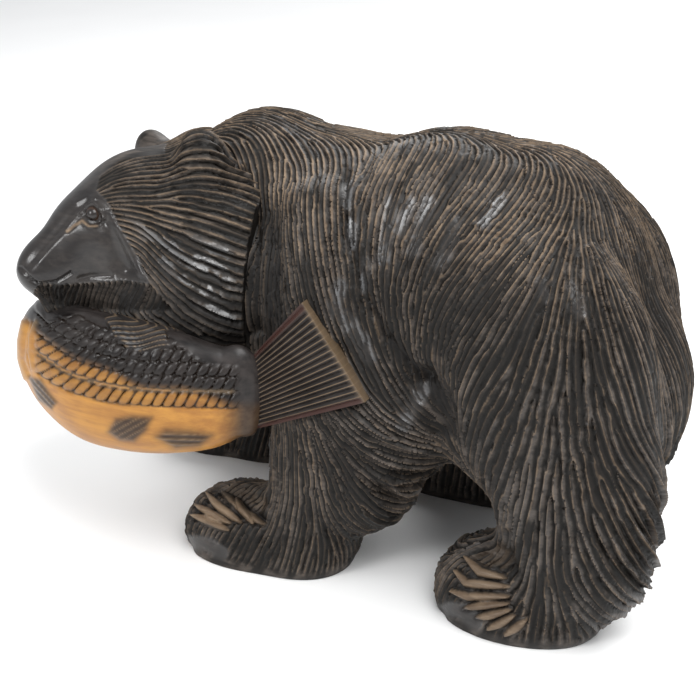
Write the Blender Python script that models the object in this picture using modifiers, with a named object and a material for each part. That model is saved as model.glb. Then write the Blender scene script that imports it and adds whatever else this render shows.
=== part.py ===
"""A carved wooden bear that walks with a salmon in its mouth, cut from one block of wood.

The figure is laid out on a carver's grid: one square is a small share of the figure's length, the bear
faces -X, its left side is -Y, and its soles stand on z = 0. The body is built up from rounded masses that
flow into each other, its coat is gouged in locks that follow combed strokes, and the fish is a loft with
scales and fins. Run it in Blender 4.5 or later.
"""

import math

import bmesh
import bpy
import numpy as np

NAME = "carved_bear"
FIGURE_LENGTH = 0.510
GRID_SQUARES = 510
SQUARE = FIGURE_LENGTH / GRID_SQUARES

# The grid point that stands at the origin, midway along and across the figure.
FIGURE_CENTRE = (-32.0, -22.5, 0.0)

# Lengths below are grid squares: how far masses melt together, and the cells of the clay skin.
BLEND = 7.0
ROUGH_CELL = 4.0
SKIN_CELL = 2.6
BALL_SEGMENTS = 24
BALL_RINGS = 14

# The locks of the coat: their spacing, how deep the gouge goes, and how much deeper in the fringes.
LOCK_PITCH = 13.0
LOCK_DEPTH = 2.7
FRINGE_DEPTH = 2.6
SOLE_HEIGHT = 4.0
SOLE_SOFTNESS = 8.0
# Where tufts stand out behind the left legs: x and its spread, z and its spread.
FRINGES = ((58.0, 26.0, 92.0, 40.0), (218.0, 20.0, 85.0, 50.0))

BEAR_TRIANGLES = 6800
FISH_TRIANGLES = 1900

WOOD_COLOUR = (0.055, 0.042, 0.035, 1.0)
WOOD_ROUGHNESS = 0.42

# The head's own frame: its centre on the grid, and how far it turns left, dips and rolls, in degrees.
HEAD_CENTRE = (-165.0, -65.0, 228.0)
HEAD_TURN = 48.0
HEAD_DIP = 8.0
HEAD_ROLL = 12.0

# How far the right legs stand ahead of the left ones.
FORE_STRIDE = -116.0
HIND_STRIDE = -112.0

# Masses of the body: name, centre and radii on the grid, and a turn about the upright axis in degrees.
TRUNK = (
    ("rump", (104, 0, 191), (80, 98, 116), 0),
    ("haunches", (152, 0, 142), (63, 84, 76), 0),
    ("loin", (45, 0, 206), (100, 97, 106), 0),
    ("ribs", (-48, 0, 194), (100, 100, 106), 0),
    ("hump", (-92, 0, 240), (62, 70, 68), 0),
    ("belly", (10, 0, 146), (130, 84, 58), 0),
    ("breast", (-122, 6, 165), (62, 76, 76), 0),
    ("neck_root", (-106, -8, 236), (60, 64, 62), 0),
    ("neck_end", (-146, -46, 228), (56, 56, 58), 0),
)
LEGS = (
    ("left_shoulder", (-20, -64, 200), (62, 46, 84), 0),
    ("left_upper_arm", (10, -72, 134), (68, 40, 58), 0),
    ("left_forearm", (-4, -75, 84), (57, 36, 52), 0),
    ("left_wrist", (-28, -76, 34), (34, 35, 46), 0),
    ("left_thigh", (132, -62, 176), (74, 50, 94), 0),
    ("left_shin", (166, -74, 108), (54, 42, 70), 0),
    ("left_hock", (170, -75, 62), (50, 37, 52), 0),
    ("right_shoulder", (-30, 62, 200), (62, 48, 84), 0),
    ("right_upper_arm", (-60, 70, 136), (62, 40, 62), 0),
    ("right_forearm", (-110, 68, 88), (48, 37, 60), 0),
    ("right_wrist", (-138, 64, 34), (38, 35, 46), 0),
    ("right_thigh", (114, 62, 176), (74, 52, 94), 0),
    ("right_shin", (72, 74, 108), (62, 42, 70), 0),
    ("right_hock", (50, 78, 48), (48, 36, 56), 0),
)
PAWS = (
    ("left_fore_heel", (-42, -76, 10), (38, 36, 24), 0),
    ("left_fore_toes", (-80, -82, 10), (51, 38, 40), 8),
    ("left_hind_heel", (144, -74, 10), (43, 35, 24), 0),
    ("left_hind_toes", (118, -76, 14), (48, 38, 44), 0),
    ("right_fore_heel", (-150, 62, 10), (42, 36, 24), 0),
    ("right_fore_toes", (-196, 56, 10), (44, 38, 36), 0),
    ("right_hind_heel", (50, 80, 10), (46, 34, 24), 0),
    ("right_hind_toes", (8, 80, 10), (42, 37, 36), 0),
)
# Masses of the head: name, then centre and radii as forward, left and up in the head's own frame.
HEAD = (
    ("skull", (0, 0, 10), (50, 46, 50)),
    ("left_ruff", (-30, 42, -22), (46, 44, 60)),
    ("right_ruff", (-30, -38, -20), (48, 44, 58)),
    ("nape", (-50, 0, 10), (40, 50, 54)),
    ("brow", (26, 0, 14), (36, 32, 26)),
    ("muzzle", (54, 0, -8), (36, 20, 21)),
    ("bridge", (65, 0, 2), (21, 14, 13)),
    ("stop", (43, 0, 14), (22, 19, 18)),
    ("nose", (85, 0, -4), (10, 11, 11)),
    ("chin", (52, 0, -34), (34, 15, 13)),
    ("jowl", (14, 14, -34), (38, 26, 26)),
    ("throat", (-2, 18, -54), (50, 46, 38)),
    ("bib", (-34, 52, -52), (40, 30, 34)),
    ("left_ear", (-40, 44, 50), (14, 18, 17)),
    ("right_ear", (-22, -44, 52), (12, 16, 16)),
)

# The bare face: where its edge stands forward, how far it falls back at the brow, and its limits.
FACE_FORWARD = 22.0
FACE_BACK_AT_BROW = 8.0
BROW_HEIGHT = 25.0
FACE_HALF_WIDTH = 60.0
LIP_HEIGHT = -46.0
FACE_SOFTNESS = 6.0

# Combed strokes: each is a run of grid points that the hair follows from root to tip on the left side.
BODY_STROKES = (
    ((-115, -40, 300), (-105, -15, 310), (-75, -15, 305), (-50, -30, 295), (-15, -75, 285)),
    ((-75, 5, 310), (-35, -15, 300), (-20, -35, 290), (-5, -60, 285)),
    ((-105, -45, 300), (-90, -60, 285), (-85, -75, 275)),
    ((-95, -40, 300), (-70, -45, 295), (-60, -70, 275), (-65, -85, 260)),
    ((-75, -60, 285), (-65, -75, 270), (-70, -90, 250)),
    ((-70, -45, 295), (-45, -75, 280), (-35, -95, 260)),
    ((-45, -50, 290), (-25, -90, 270), (-20, -110, 225)),
    ((-20, -75, 285), (-5, -95, 255), (10, -105, 220)),
    ((-15, -70, 285), (5, -90, 265), (20, -100, 235), (35, -100, 195)),
    ((-55, -95, 245), (-60, -105, 225), (-60, -105, 190)),
    ((-20, -105, 245), (-10, -110, 220), (5, -110, 195)),
    ((-10, -100, 255), (0, -105, 220), (15, -105, 180)),
    ((0, -70, 285), (5, -85, 270), (15, -95, 245)),
    ((15, -70, 280), (20, -90, 260), (25, -95, 240)),
    ((-10, 0, 300), (-5, -20, 298), (-15, -50, 285)),
    ((0, 0, 305), (10, -15, 303), (5, -35, 295), (0, -55, 285)),
    ((20, 0, 312), (35, -20, 310), (35, -40, 300), (25, -60, 290)),
    ((45, 0, 312), (60, -15, 310), (60, -40, 305), (45, -60, 290)),
    ((70, 0, 312), (85, -10, 310), (90, -40, 300), (75, -60, 290)),
    ((95, 0, 308), (110, -15, 305), (115, -45, 295), (100, -65, 285)),
    ((25, -55, 290), (25, -70, 280), (25, -85, 260)),
    ((50, -55, 295), (50, -75, 275), (45, -85, 260)),
    ((65, -60, 290), (65, -75, 275), (55, -85, 255)),
    ((85, -55, 290), (85, -70, 275), (70, -85, 255)),
    ((35, -85, 255), (30, -95, 235), (35, -100, 210), (50, -100, 190)),
    ((55, -85, 255), (45, -95, 230), (50, -100, 205), (60, -100, 180)),
    ((75, -85, 260), (65, -95, 235), (60, -100, 210), (70, -100, 175)),
    ((110, -65, 280), (90, -80, 265), (75, -90, 245), (65, -100, 215)),
    ((125, -70, 275), (110, -90, 255), (85, -100, 230), (75, -100, 205)),
    ((50, -100, 200), (55, -100, 170), (70, -100, 145)),
    ((30, -100, 225), (40, -100, 190), (55, -100, 160)),
    ((120, 0, 305), (130, -10, 300), (140, -35, 285), (155, -80, 260)),
    ((125, -50, 290), (125, -80, 270), (115, -95, 245), (85, -100, 215), (70, -100, 190)),
    ((140, 0, 295), (155, -15, 280), (170, -25, 250), (185, -25, 215), (200, -25, 170)),
    ((155, -80, 260), (160, -105, 220), (160, -110, 170)),
    ((140, -85, 260), (135, -105, 225), (120, -110, 190), (90, -105, 155)),
    ((165, -85, 250), (185, -90, 215), (200, -80, 175), (210, -70, 145)),
    ((175, -80, 245), (200, -80, 205), (205, -60, 150)),
    ((190, -30, 215), (205, -20, 170), (208, -15, 125)),
    ((-60, -80, 140), (0, -60, 92), (60, -60, 92)),
    ((-170, -40, 170), (-150, -30, 120), (-110, -10, 95)),
)
FORELEG_STROKES = (
    ((-50, -95, 105), (-45, -100, 70), (-50, -110, 25)),
    ((-25, -110, 125), (-20, -110, 85), (-30, -115, 30)),
    ((-5, -115, 130), (5, -110, 90), (-5, -110, 30)),
    ((15, -110, 155), (35, -110, 140), (55, -105, 140), (70, -100, 155)),
    ((10, -115, 130), (35, -110, 115), (55, -95, 110), (75, -90, 112)),
    ((15, -110, 110), (30, -105, 85), (45, -85, 70), (55, -75, 66)),
    ((5, -110, 75), (15, -100, 55), (28, -85, 45)),
    ((-35, -105, 65), (-55, -110, 25), (-65, -120, 10)),
    ((15, -105, 180), (35, -110, 155), (50, -105, 140)),
    ((5, -110, 195), (15, -110, 165), (40, -110, 150)),
    ((-20, -40, 120), (-15, -40, 70), (-30, -40, 20)),
)
HINDLEG_STROKES = (
    ((160, -110, 170), (160, -115, 105), (160, -110, 20)),
    ((145, -105, 225), (135, -115, 180), (115, -110, 140), (95, -105, 110)),
    ((140, -110, 185), (135, -115, 140), (125, -115, 100), (110, -110, 80)),
    ((145, -115, 130), (140, -115, 85), (125, -105, 35), (110, -115, 15)),
    ((175, -100, 210), (185, -100, 165), (205, -95, 135), (222, -80, 122)),
    ((175, -105, 165), (185, -110, 125), (205, -100, 85), (218, -80, 65)),
    ((170, -115, 120), (180, -115, 80), (195, -105, 50), (210, -85, 38)),
    ((150, -40, 120), (155, -40, 70), (150, -40, 20)),
)
HEAD_STROKES = (
    ((-170, -105, 270), (-160, -90, 280), (-130, -80, 290), (-100, -70, 290)),
    ((-165, -105, 265), (-140, -95, 270), (-110, -90, 275), (-85, -75, 270)),
    ((-155, -110, 260), (-130, -105, 265), (-95, -100, 260), (-75, -90, 250)),
    ((-155, -110, 255), (-125, -110, 250), (-90, -110, 235), (-70, -100, 230)),
    ((-150, -110, 250), (-120, -115, 235), (-90, -115, 215), (-70, -105, 215)),
    ((-145, -115, 235), (-120, -120, 215), (-95, -115, 195), (-70, -105, 190)),
    ((-140, -115, 215), (-115, -115, 195), (-95, -110, 180), (-75, -110, 170)),
    ((-180, -100, 275), (-180, -75, 285), (-165, -60, 290), (-145, -60, 295)),
    ((-125, -115, 200), (-110, -115, 185), (-85, -110, 170)),
)
STROKE_REACH = 22.0
LAZY_FLOW = (0.35, 0.0, -1.0)

# Deep cuts: name, run of grid points, half width and depth.
CUTS = (
    ("ruff_edge", ((-88, -66, 276), (-68, -92, 250), (-60, -102, 215), (-64, -108, 172)), 5.0, 7.0),
    ("shoulder_crease", ((2, -76, 284), (14, -92, 255), (30, -100, 215), (46, -102, 175)), 6.0, 4.0),
    ("right_shoulder_crease", ((-2, 76, 284), (8, 92, 255), (16, 100, 215), (20, 102, 175)), 6.0, 4.0),
    ("elbow_crease", ((52, -104, 170), (72, -104, 150), (84, -100, 128)), 7.0, 6.0),
)
TOES = 5
TOE_CUT_WIDTH = 3.2
TOE_CUT_DEPTH = 4.5
# Half the angle that the toes fan over, in degrees, and each cut's run: share of the reach, then height.
TOE_FAN = 62.0
TOE_CUT_RUN = ((0.45, 44), (1.0, 14), (1.1, -4))
# Each paw's middle, and how far its toes reach.
PAW_TIPS = ((-80, -82, 48), (118, -76, 45), (-196, 56, 40), (8, 80, 38))

# The fish: centre of each section on the grid, then its half width and half height.
FISH = (
    (-279, -42, 120, 0, 0),
    (-277, -47, 121, 6, 8),
    (-267, -63, 125, 15, 22),
    (-250, -88, 131, 22, 34),
    (-231, -108, 136, 24, 42),
    (-208, -122, 138, 26, 47),
    (-180, -132, 139, 27, 51),
    (-145, -135, 140, 26, 50),
    (-110, -133, 142, 24, 46),
    (-85, -129, 144, 20, 41),
    (-66, -124, 147, 15, 34),
    (-48, -117, 149, 11, 30),
    (-30, -108, 150, 8, 26),
    (-20, -104, 150, 0, 0),
)
FISH_SEGMENTS = 72
FISH_RINGS = 120
SCALE_LENGTH = 17.0
SCALE_RELIEF = 2.4
# Scales start and end at these shares of the fish's length, and at this distance below its side line.
SCALED_FROM = 0.20
SCALED_TO = 0.86
SCALED_BELOW = -12.0
# How far a fin's root stands out between its ends.
FIN_BULGE = 3.0
# Fins: name, root ends, tip ends, rays, rib height and thickness.
FINS = (
    ("tail_fan", ((-55, -117, 170), (-60, -118, 116)), ((-14, -114, 219), (31, -113, 157)), 9, 1.6, 22.0),
    ("dorsal_fin", ((-162, -134, 176), (-112, -132, 176)), ((-170, -124, 196), (-98, -124, 192)), 6, 1.2, 14.0),
    ("pelvic_fin", ((-175, -150, 104), (-150, -152, 108)), ((-150, -146, 92), (-132, -148, 100)), 4, 1.0, 9.0),
)


def grid_to_metres(points):
    """Grid points as metres, with the figure's centre at the origin."""
    return (np.asarray(points, float) - np.array(FIGURE_CENTRE)) * SQUARE


def turned(degrees):
    """Rows are the axes of a mass that is turned about the upright axis."""
    angle = math.radians(degrees)
    return np.array([[math.cos(angle), math.sin(angle), 0], [-math.sin(angle), math.cos(angle), 0], [0, 0, 1]])


def head_frame():
    """The head's centre, and its forward, left and up axes as rows."""
    turn, dip, roll = (math.radians(v) for v in (HEAD_TURN, HEAD_DIP, HEAD_ROLL))
    forward = np.array([-math.cos(turn) * math.cos(dip), -math.sin(turn) * math.cos(dip), -math.sin(dip)])
    level_left = np.array([math.sin(turn), -math.cos(turn), 0.0])
    level_up = np.cross(forward, level_left)
    left = level_left * math.cos(roll) + level_up * math.sin(roll)
    high = level_up * math.cos(roll) - level_left * math.sin(roll)
    return np.array(HEAD_CENTRE), np.stack([forward, left, high])


def masses():
    """Every mass as centre, radii and axes on the grid."""
    made = []
    for name, centre, radii, turn in (*TRUNK, *LEGS, *PAWS):
        made.append((name, np.array(centre, float), np.array(radii, float), turned(turn)))
    origin, axes = head_frame()
    for name, place, radii in HEAD:
        made.append((name, origin + np.array(place, float) @ axes, np.array(radii, float), axes))
    return made


def clay_distance(points, solids):
    """Distance to the surface of masses that melt into each other, below zero inside."""
    total = np.zeros(len(points))
    for name, centre, radii, axes in solids:
        local = (points - centre) @ axes.T
        reach = np.linalg.norm(local / radii, axis=1)
        slope = np.linalg.norm(local / (radii * radii), axis=1)
        gap = reach * (reach - 1) / np.maximum(slope, 1e-9)
        total += np.exp(-np.clip(gap, -60, 400) / BLEND)
    return -BLEND * np.log(total + 1e-300)


def settled(points, solids, rounds):
    """Points moved onto the clay surface."""
    for _ in range(rounds):
        gap = clay_distance(points, solids)
        slope = np.stack([clay_distance(points + e, solids) - gap for e in np.eye(3) * 0.5], axis=1) * 2
        slope /= np.maximum(np.linalg.norm(slope, axis=1), 0.3)[:, None] ** 2
        points = points - slope * np.clip(gap, -4, 4)[:, None]
    return points


def mesh_arrays(mesh):
    """A mesh's points and normals, and the pairs of points that its edges join."""
    points = np.empty(len(mesh.vertices) * 3)
    normals = np.empty(len(mesh.vertices) * 3)
    edges = np.empty(len(mesh.edges) * 2, dtype=np.int64)
    mesh.vertices.foreach_get("co", points)
    mesh.vertices.foreach_get("normal", normals)
    mesh.edges.foreach_get("vertices", edges)
    return points.reshape(-1, 3), normals.reshape(-1, 3), edges.reshape(-1, 2)


def set_points(mesh, points):
    """Writes points back to a mesh."""
    mesh.vertices.foreach_set("co", np.ascontiguousarray(points, dtype=np.float32).ravel())
    mesh.update()


def apply_all(obj):
    """Applies an object's modifiers in order."""
    bpy.ops.object.select_all(action="DESELECT")
    obj.select_set(True)
    bpy.context.view_layer.objects.active = obj
    for modifier in list(obj.modifiers):
        bpy.ops.object.modifier_apply(modifier=modifier.name)


def new_ball(name, segments, rings):
    """A unit ball at the origin."""
    bpy.ops.object.select_all(action="DESELECT")
    bpy.ops.mesh.primitive_uv_sphere_add(segments=segments, ring_count=rings, radius=1)
    ball = bpy.context.object
    ball.name = name
    return ball


def clay_body(solids):
    """One closed skin, on the grid, over all the masses."""
    balls = []
    for name, centre, radii, axes in solids:
        ball = new_ball(name, BALL_SEGMENTS, BALL_RINGS)
        points = mesh_arrays(ball.data)[0]
        set_points(ball.data, centre + (points * radii) @ axes)
        balls.append(ball)
    for ball in balls:
        ball.select_set(True)
    bpy.context.view_layer.objects.active = balls[0]
    bpy.ops.object.join()
    body = bpy.context.object
    for cell in (ROUGH_CELL, SKIN_CELL):
        remesh = body.modifiers.new("skin", "REMESH")
        remesh.mode = "VOXEL"
        remesh.voxel_size = cell
        apply_all(body)
        points = mesh_arrays(body.data)[0]
        set_points(body.data, settled(points, solids, 5))
    return body


def stroke_segments():
    """Starts, ends and directions of every combed stroke, on both sides of the body."""
    runs = list(HEAD_STROKES)
    for strokes, stride in ((BODY_STROKES, 0), (FORELEG_STROKES, FORE_STRIDE), (HINDLEG_STROKES, HIND_STRIDE)):
        for stroke in strokes:
            runs.append(stroke)
            runs.append(tuple((x + stride, -y, z) for x, y, z in stroke))
    origin, axes = head_frame()
    for stroke in HEAD_STROKES:
        local = (np.array(stroke, float) - origin) @ axes.T
        local[:, 1] *= -1
        runs.append(tuple(origin + local @ axes))
    starts = np.array([p for run in runs for p in run[:-1]], float)
    ends = np.array([p for run in runs for p in run[1:]], float)
    return starts, ends


def hair_flow(points, normals):
    """The hair's direction at each point: the nearby strokes' directions, laid into the surface."""
    starts, ends = stroke_segments()
    flow = np.repeat(np.array([LAZY_FLOW]) * 0.02, len(points), axis=0)
    for a, b in zip(starts, ends):
        along = (b - a) / np.linalg.norm(b - a)
        share = np.clip((points - a) @ (b - a) / ((b - a) @ (b - a)), 0, 1)
        away = points - (a + share[:, None] * (b - a))
        weight = np.exp(-(away * away).sum(axis=1) / (2 * STROKE_REACH**2))
        flow += weight[:, None] * along
    flow -= normals * (flow * normals).sum(axis=1)[:, None]
    return flow / np.maximum(np.linalg.norm(flow, axis=1), 1e-9)[:, None]


def gathered(points, values, cell):
    """Points and values averaged in cells, with each point's cell."""
    keys = np.floor(points / cell).astype(np.int64)
    keys -= keys.min(axis=0)
    span = keys.max() + 1
    flat = (keys[:, 0] * span + keys[:, 1]) * span + keys[:, 2]
    owners = np.unique(flat, return_inverse=True)[1]
    counts = np.bincount(owners)
    means = [np.bincount(owners, weights=column) / counts for column in np.hstack([points, values]).T]
    means = np.array(means).T
    return means[:, :3], means[:, 3:], owners


def combed_wave(points, edges, across, along, wave, rounds):
    """Settles a wave whose crests run with the hair: each point takes its neighbours' phase, carried over."""
    a, b = edges.T
    step = points[b] - points[a]
    gain = ((across[a] + across[b]) * 0.5 * step).sum(axis=1)
    heading = along[a] + along[b]
    heading /= np.maximum(np.linalg.norm(heading, axis=1), 1e-9)[:, None]
    reach = np.maximum(np.linalg.norm(step, axis=1), 1e-9)
    weight = 0.25 + ((step * heading).sum(axis=1) / reach) ** 2
    turn = np.exp(1j * gain) * weight
    count = len(points)
    for _ in range(rounds):
        ahead = wave[a] * turn
        behind = wave[b] * turn.conj()
        real = np.bincount(b, ahead.real, count) + np.bincount(a, behind.real, count)
        imag = np.bincount(b, ahead.imag, count) + np.bincount(a, behind.imag, count)
        total = real + 1j * imag
        wave = total / np.maximum(np.abs(total), 1e-9)
    return wave


def lock_phase(points, normals, edges, flow, pitch, seed):
    """Phase of the locks at each point, from -pi to pi, with a ridge at both ends and a channel at zero."""
    across = np.cross(normals, flow) * (2 * math.pi / pitch)
    rng = np.random.default_rng(seed)
    wave = None
    last_points, last_owners = points, None
    for cell in (12.0, 6.0):
        coarse, values, owners = gathered(points, np.hstack([across, flow]), cell)
        pairs = np.sort(owners[edges], axis=1)
        pairs = np.unique(pairs[pairs[:, 0] != pairs[:, 1]], axis=0)
        if wave is None:
            start = np.exp(2j * math.pi * rng.random(len(coarse)))
        else:
            shift = ((points - last_points[last_owners]) * across).sum(axis=1)
            spread = wave[last_owners] * np.exp(1j * shift)
            back = ((coarse[owners] - points) * across).sum(axis=1)
            spread = spread * np.exp(1j * back)
            start = np.bincount(owners, spread.real) + 1j * np.bincount(owners, spread.imag)
            start /= np.maximum(np.abs(start), 1e-9)
        wave = combed_wave(coarse, pairs, values[:, :3], values[:, 3:], start, 250)
        last_points, last_owners = coarse, owners
    shift = ((points - last_points[last_owners]) * across).sum(axis=1)
    wave = combed_wave(points, edges, across, flow, wave[last_owners] * np.exp(1j * shift), 60)
    return np.angle(wave)


def run_distance(points, run):
    """Distance from points to a run of straight stretches."""
    best = np.full(len(points), 1e9)
    for a, b in zip(np.array(run[:-1], float), np.array(run[1:], float)):
        share = np.clip((points - a) @ (b - a) / ((b - a) @ (b - a)), 0, 1)
        best = np.minimum(best, np.linalg.norm(points - (a + share[:, None] * (b - a)), axis=1))
    return best


def toe_cuts():
    """Cuts between the toes of every paw, fanned round its tip."""
    made = []
    for x, y, reach in PAW_TIPS:
        for k in range(1, TOES):
            angle = math.radians(TOE_FAN * (2 * k / TOES - 1))
            dx, dy = -reach * math.cos(angle), reach * math.sin(angle)
            run = tuple((x + share * dx, y + share * dy, z) for share, z in TOE_CUT_RUN)
            made.append(("toe_cut", run, TOE_CUT_WIDTH, TOE_CUT_DEPTH))
    return made


def coat_share(points):
    """Share of the full lock depth at each point: none on the face, the ears' fronts and the soles."""
    origin, axes = head_frame()
    f, l, u = ((points - origin) @ axes.T).T
    face_edge = FACE_FORWARD - FACE_BACK_AT_BROW * np.clip(u / BROW_HEIGHT, -1, 1)
    bare = np.clip((f - face_edge) / FACE_SOFTNESS + 0.5, 0, 1)
    bare *= (np.abs(l) < FACE_HALF_WIDTH) * (u > LIP_HEIGHT)
    sole = np.clip((points[:, 2] - SOLE_HEIGHT) / SOLE_SOFTNESS, 0, 1)
    return (1 - bare) * sole


def fringe_share(points):
    """One at the back edges of the left legs, where the locks stand out in tufts, and none elsewhere."""
    x, z = points[:, 0], points[:, 2]
    total = np.zeros(len(points))
    for at_x, wide, at_z, tall in FRINGES:
        total += np.exp(-(((x - at_x) / wide) ** 2) - ((z - at_z) / tall) ** 2)
    return np.clip(total, 0, 1)


def carve_coat(body):
    """Gouges the locks and the deep cuts into the clay skin."""
    points, normals, edges = mesh_arrays(body.data)
    flow = hair_flow(points, normals)
    phase = lock_phase(points, normals, edges, flow, LOCK_PITCH, 7)
    side = np.cross(normals, flow)
    coat = coat_share(points)
    snap = np.round(phase / (math.pi / 2)) * (math.pi / 2) - phase
    points += side * (0.6 * snap * coat * LOCK_PITCH / (2 * math.pi))[:, None]
    phase = phase + 0.6 * snap
    depth = (LOCK_DEPTH + FRINGE_DEPTH * fringe_share(points)) * coat
    height = depth * ((phase / math.pi) ** 2 - 0.6)
    for name, run, width, deep in (*CUTS, *toe_cuts()):
        height -= deep * np.exp(-((run_distance(points, run) / width) ** 2))
    set_points(body.data, points + normals * height[:, None])


def thinned(obj, triangles):
    """Fewer triangles on an object, with the ridges kept."""
    triangulate = obj.modifiers.new("triangles", "TRIANGULATE")
    triangulate.quad_method = "BEAUTY"
    apply_all(obj)
    decimate = obj.modifiers.new("thin", "DECIMATE")
    decimate.ratio = triangles / len(obj.data.polygons)
    apply_all(obj)


def stations_at(stations, shares):
    """A smooth curve through the stations, read at shares from 0 to 1 of its length."""
    rows = np.array(stations, float)
    steps = np.linalg.norm(np.diff(rows[:, :3], axis=0), axis=1)
    knots = np.concatenate([[0.0], np.cumsum(steps)]) / steps.sum()
    slopes = np.gradient(rows, knots, axis=0)
    k = np.clip(np.searchsorted(knots, shares, side="right") - 1, 0, len(knots) - 2)
    span = (knots[k + 1] - knots[k])[:, None]
    t = ((shares - knots[k])[:, None]) / span
    start = (1 + 2 * t) * (1 - t) ** 2 * rows[k] + t * (1 - t) ** 2 * span * slopes[k]
    end = t * t * (3 - 2 * t) * rows[k + 1] + t * t * (t - 1) * span * slopes[k + 1]
    return start + end


def scale_height(along, around):
    """Relief of overlapping round scales, from distances along and round the fish."""
    row = np.floor(along / (0.5 * SCALE_LENGTH))
    best = np.zeros(len(along))
    for back in (0, 1):
        start = (row - back) * 0.5 * SCALE_LENGTH
        shift = ((row - back) % 2) * 0.5 * SCALE_LENGTH
        u = (along - start) / SCALE_LENGTH
        v = ((around + shift) / SCALE_LENGTH) % 1.0 - 0.5
        inside = 1 - (np.clip(u, 0, 2)) ** 2 - (2 * v) ** 2 * 0.8
        best = np.maximum(best, np.where(inside > 0, 0.25 + 0.75 * u, 0))
    return best


def fish_body():
    """The salmon's body, lofted from a ball, with its scales."""
    fish = new_ball("salmon", FISH_SEGMENTS, FISH_RINGS)
    unit = mesh_arrays(fish.data)[0]
    share = (1 - unit[:, 2]) / 2
    rows = stations_at(FISH, share)
    ahead = stations_at(FISH, np.clip(share + 0.01, 0, 1))[:, :3]
    behind = stations_at(FISH, np.clip(share - 0.01, 0, 1))[:, :3]
    along = (ahead - behind) / np.linalg.norm(ahead - behind, axis=1)[:, None]
    side = np.cross(along, (0, 0, 1))
    side /= np.linalg.norm(side, axis=1)[:, None]
    high = np.cross(side, along)
    ring = np.maximum(np.hypot(unit[:, 0], unit[:, 1]), 1e-6)
    cx, cy = unit[:, 0] / ring, unit[:, 1] / ring
    sizes = np.maximum(rows[:, 3:5], 0)
    points = rows[:, :3] + side * (sizes[:, 0] * cx)[:, None] + high * (sizes[:, 1] * cy)[:, None]
    set_points(fish.data, points)
    normals = mesh_arrays(fish.data)[1]
    length = np.linalg.norm(np.diff(np.array(FISH, float)[:, :3], axis=0), axis=1).sum()
    around = np.arctan2(cy, np.abs(cx)) * sizes[:, 1]
    scaled = np.clip((share - SCALED_FROM) / 0.03, 0, 1) * np.clip((SCALED_TO - share) / 0.04, 0, 1)
    scaled *= np.clip((around - SCALED_BELOW) / 6, 0, 1)
    relief = SCALE_RELIEF * scale_height(share * length, around) * scaled
    set_points(fish.data, points + normals * relief[:, None])
    return fish


def fin(name, root, tip, rays, rib, thickness):
    """A ribbed fin between its root line and its tip line, thick enough to sink into what carries it."""
    bpy.ops.object.select_all(action="DESELECT")
    columns = int(round(2 * rays))
    bpy.ops.mesh.primitive_grid_add(x_subdivisions=columns, y_subdivisions=4, size=2)
    fan = bpy.context.object
    fan.name = name
    unit = mesh_arrays(fan.data)[0]
    u, v = (unit[:, 0] + 1) / 2, (unit[:, 1] + 1) / 2
    (a, b), (c, d) = np.array(root, float), np.array(tip, float)
    near = a + u[:, None] * (b - a)
    far = c + u[:, None] * (d - c)
    points = near + v[:, None] * (far - near)
    ribs = rib * (np.round(u * columns) % 2) * np.clip(v * 3, 0.3, 1)
    points[:, 1] -= ribs + FIN_BULGE * np.sin(math.pi * u) * (1 - v)
    set_points(fan.data, points)
    shell = fan.modifiers.new("thickness", "SOLIDIFY")
    shell.thickness = thickness
    shell.offset = math.copysign(1.0, mesh_arrays(fan.data)[1][:, 1].mean())
    apply_all(fan)
    bm = bmesh.new()
    bm.from_mesh(fan.data)
    bmesh.ops.recalc_face_normals(bm, faces=bm.faces)
    bm.to_mesh(fan.data)
    bm.free()
    return fan


def united(base, others):
    """Joins closed solids into one by Boolean union."""
    for other in others:
        union = base.modifiers.new("join", "BOOLEAN")
        union.operation = "UNION"
        # The exact solver loses the bear when the tail fan is joined to it.
        union.solver = "MANIFOLD"
        union.object = other
        apply_all(base)
        bpy.data.objects.remove(other)
    return base


def without_pockets(obj):
    """Keeps the figure's outer skin alone, so that no pocket stays sealed inside the wood."""
    bm = bmesh.new()
    bm.from_mesh(obj.data)
    skins = []
    left = set(bm.faces)
    while left:
        skin = set()
        edge = [left.pop()]
        while edge:
            face = edge.pop()
            skin.add(face)
            for near in {f for e in face.edges for f in e.link_faces} & left:
                left.discard(near)
                edge.append(near)
        skins.append(skin)
    skins.sort(key=len)
    inner = [face for skin in skins[:-1] for face in skin]
    bmesh.ops.delete(bm, geom=inner, context="FACES")
    bm.to_mesh(obj.data)
    bm.free()


def flat_soles(obj):
    """Cuts the figure off at the floor and closes the soles."""
    bm = bmesh.new()
    bm.from_mesh(obj.data)
    geometry = [*bm.verts, *bm.edges, *bm.faces]
    bmesh.ops.bisect_plane(bm, geom=geometry, plane_co=(0, 0, 0), plane_no=(0, 0, 1), clear_inner=True)
    bmesh.ops.holes_fill(bm, edges=[e for e in bm.edges if e.is_boundary], sides=0)
    bmesh.ops.triangulate(bm, faces=[f for f in bm.faces if len(f.verts) > 3])
    bmesh.ops.recalc_face_normals(bm, faces=bm.faces)
    bm.to_mesh(obj.data)
    bm.free()


def stained_wood():
    """Dark stained and waxed wood."""
    material = bpy.data.materials.new("stained_wood")
    material.use_nodes = True
    shader = material.node_tree.nodes["Principled BSDF"]
    shader.inputs["Base Color"].default_value = WOOD_COLOUR
    shader.inputs["Roughness"].default_value = WOOD_ROUGHNESS
    shader.inputs["Metallic"].default_value = 0.0
    return material


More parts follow.
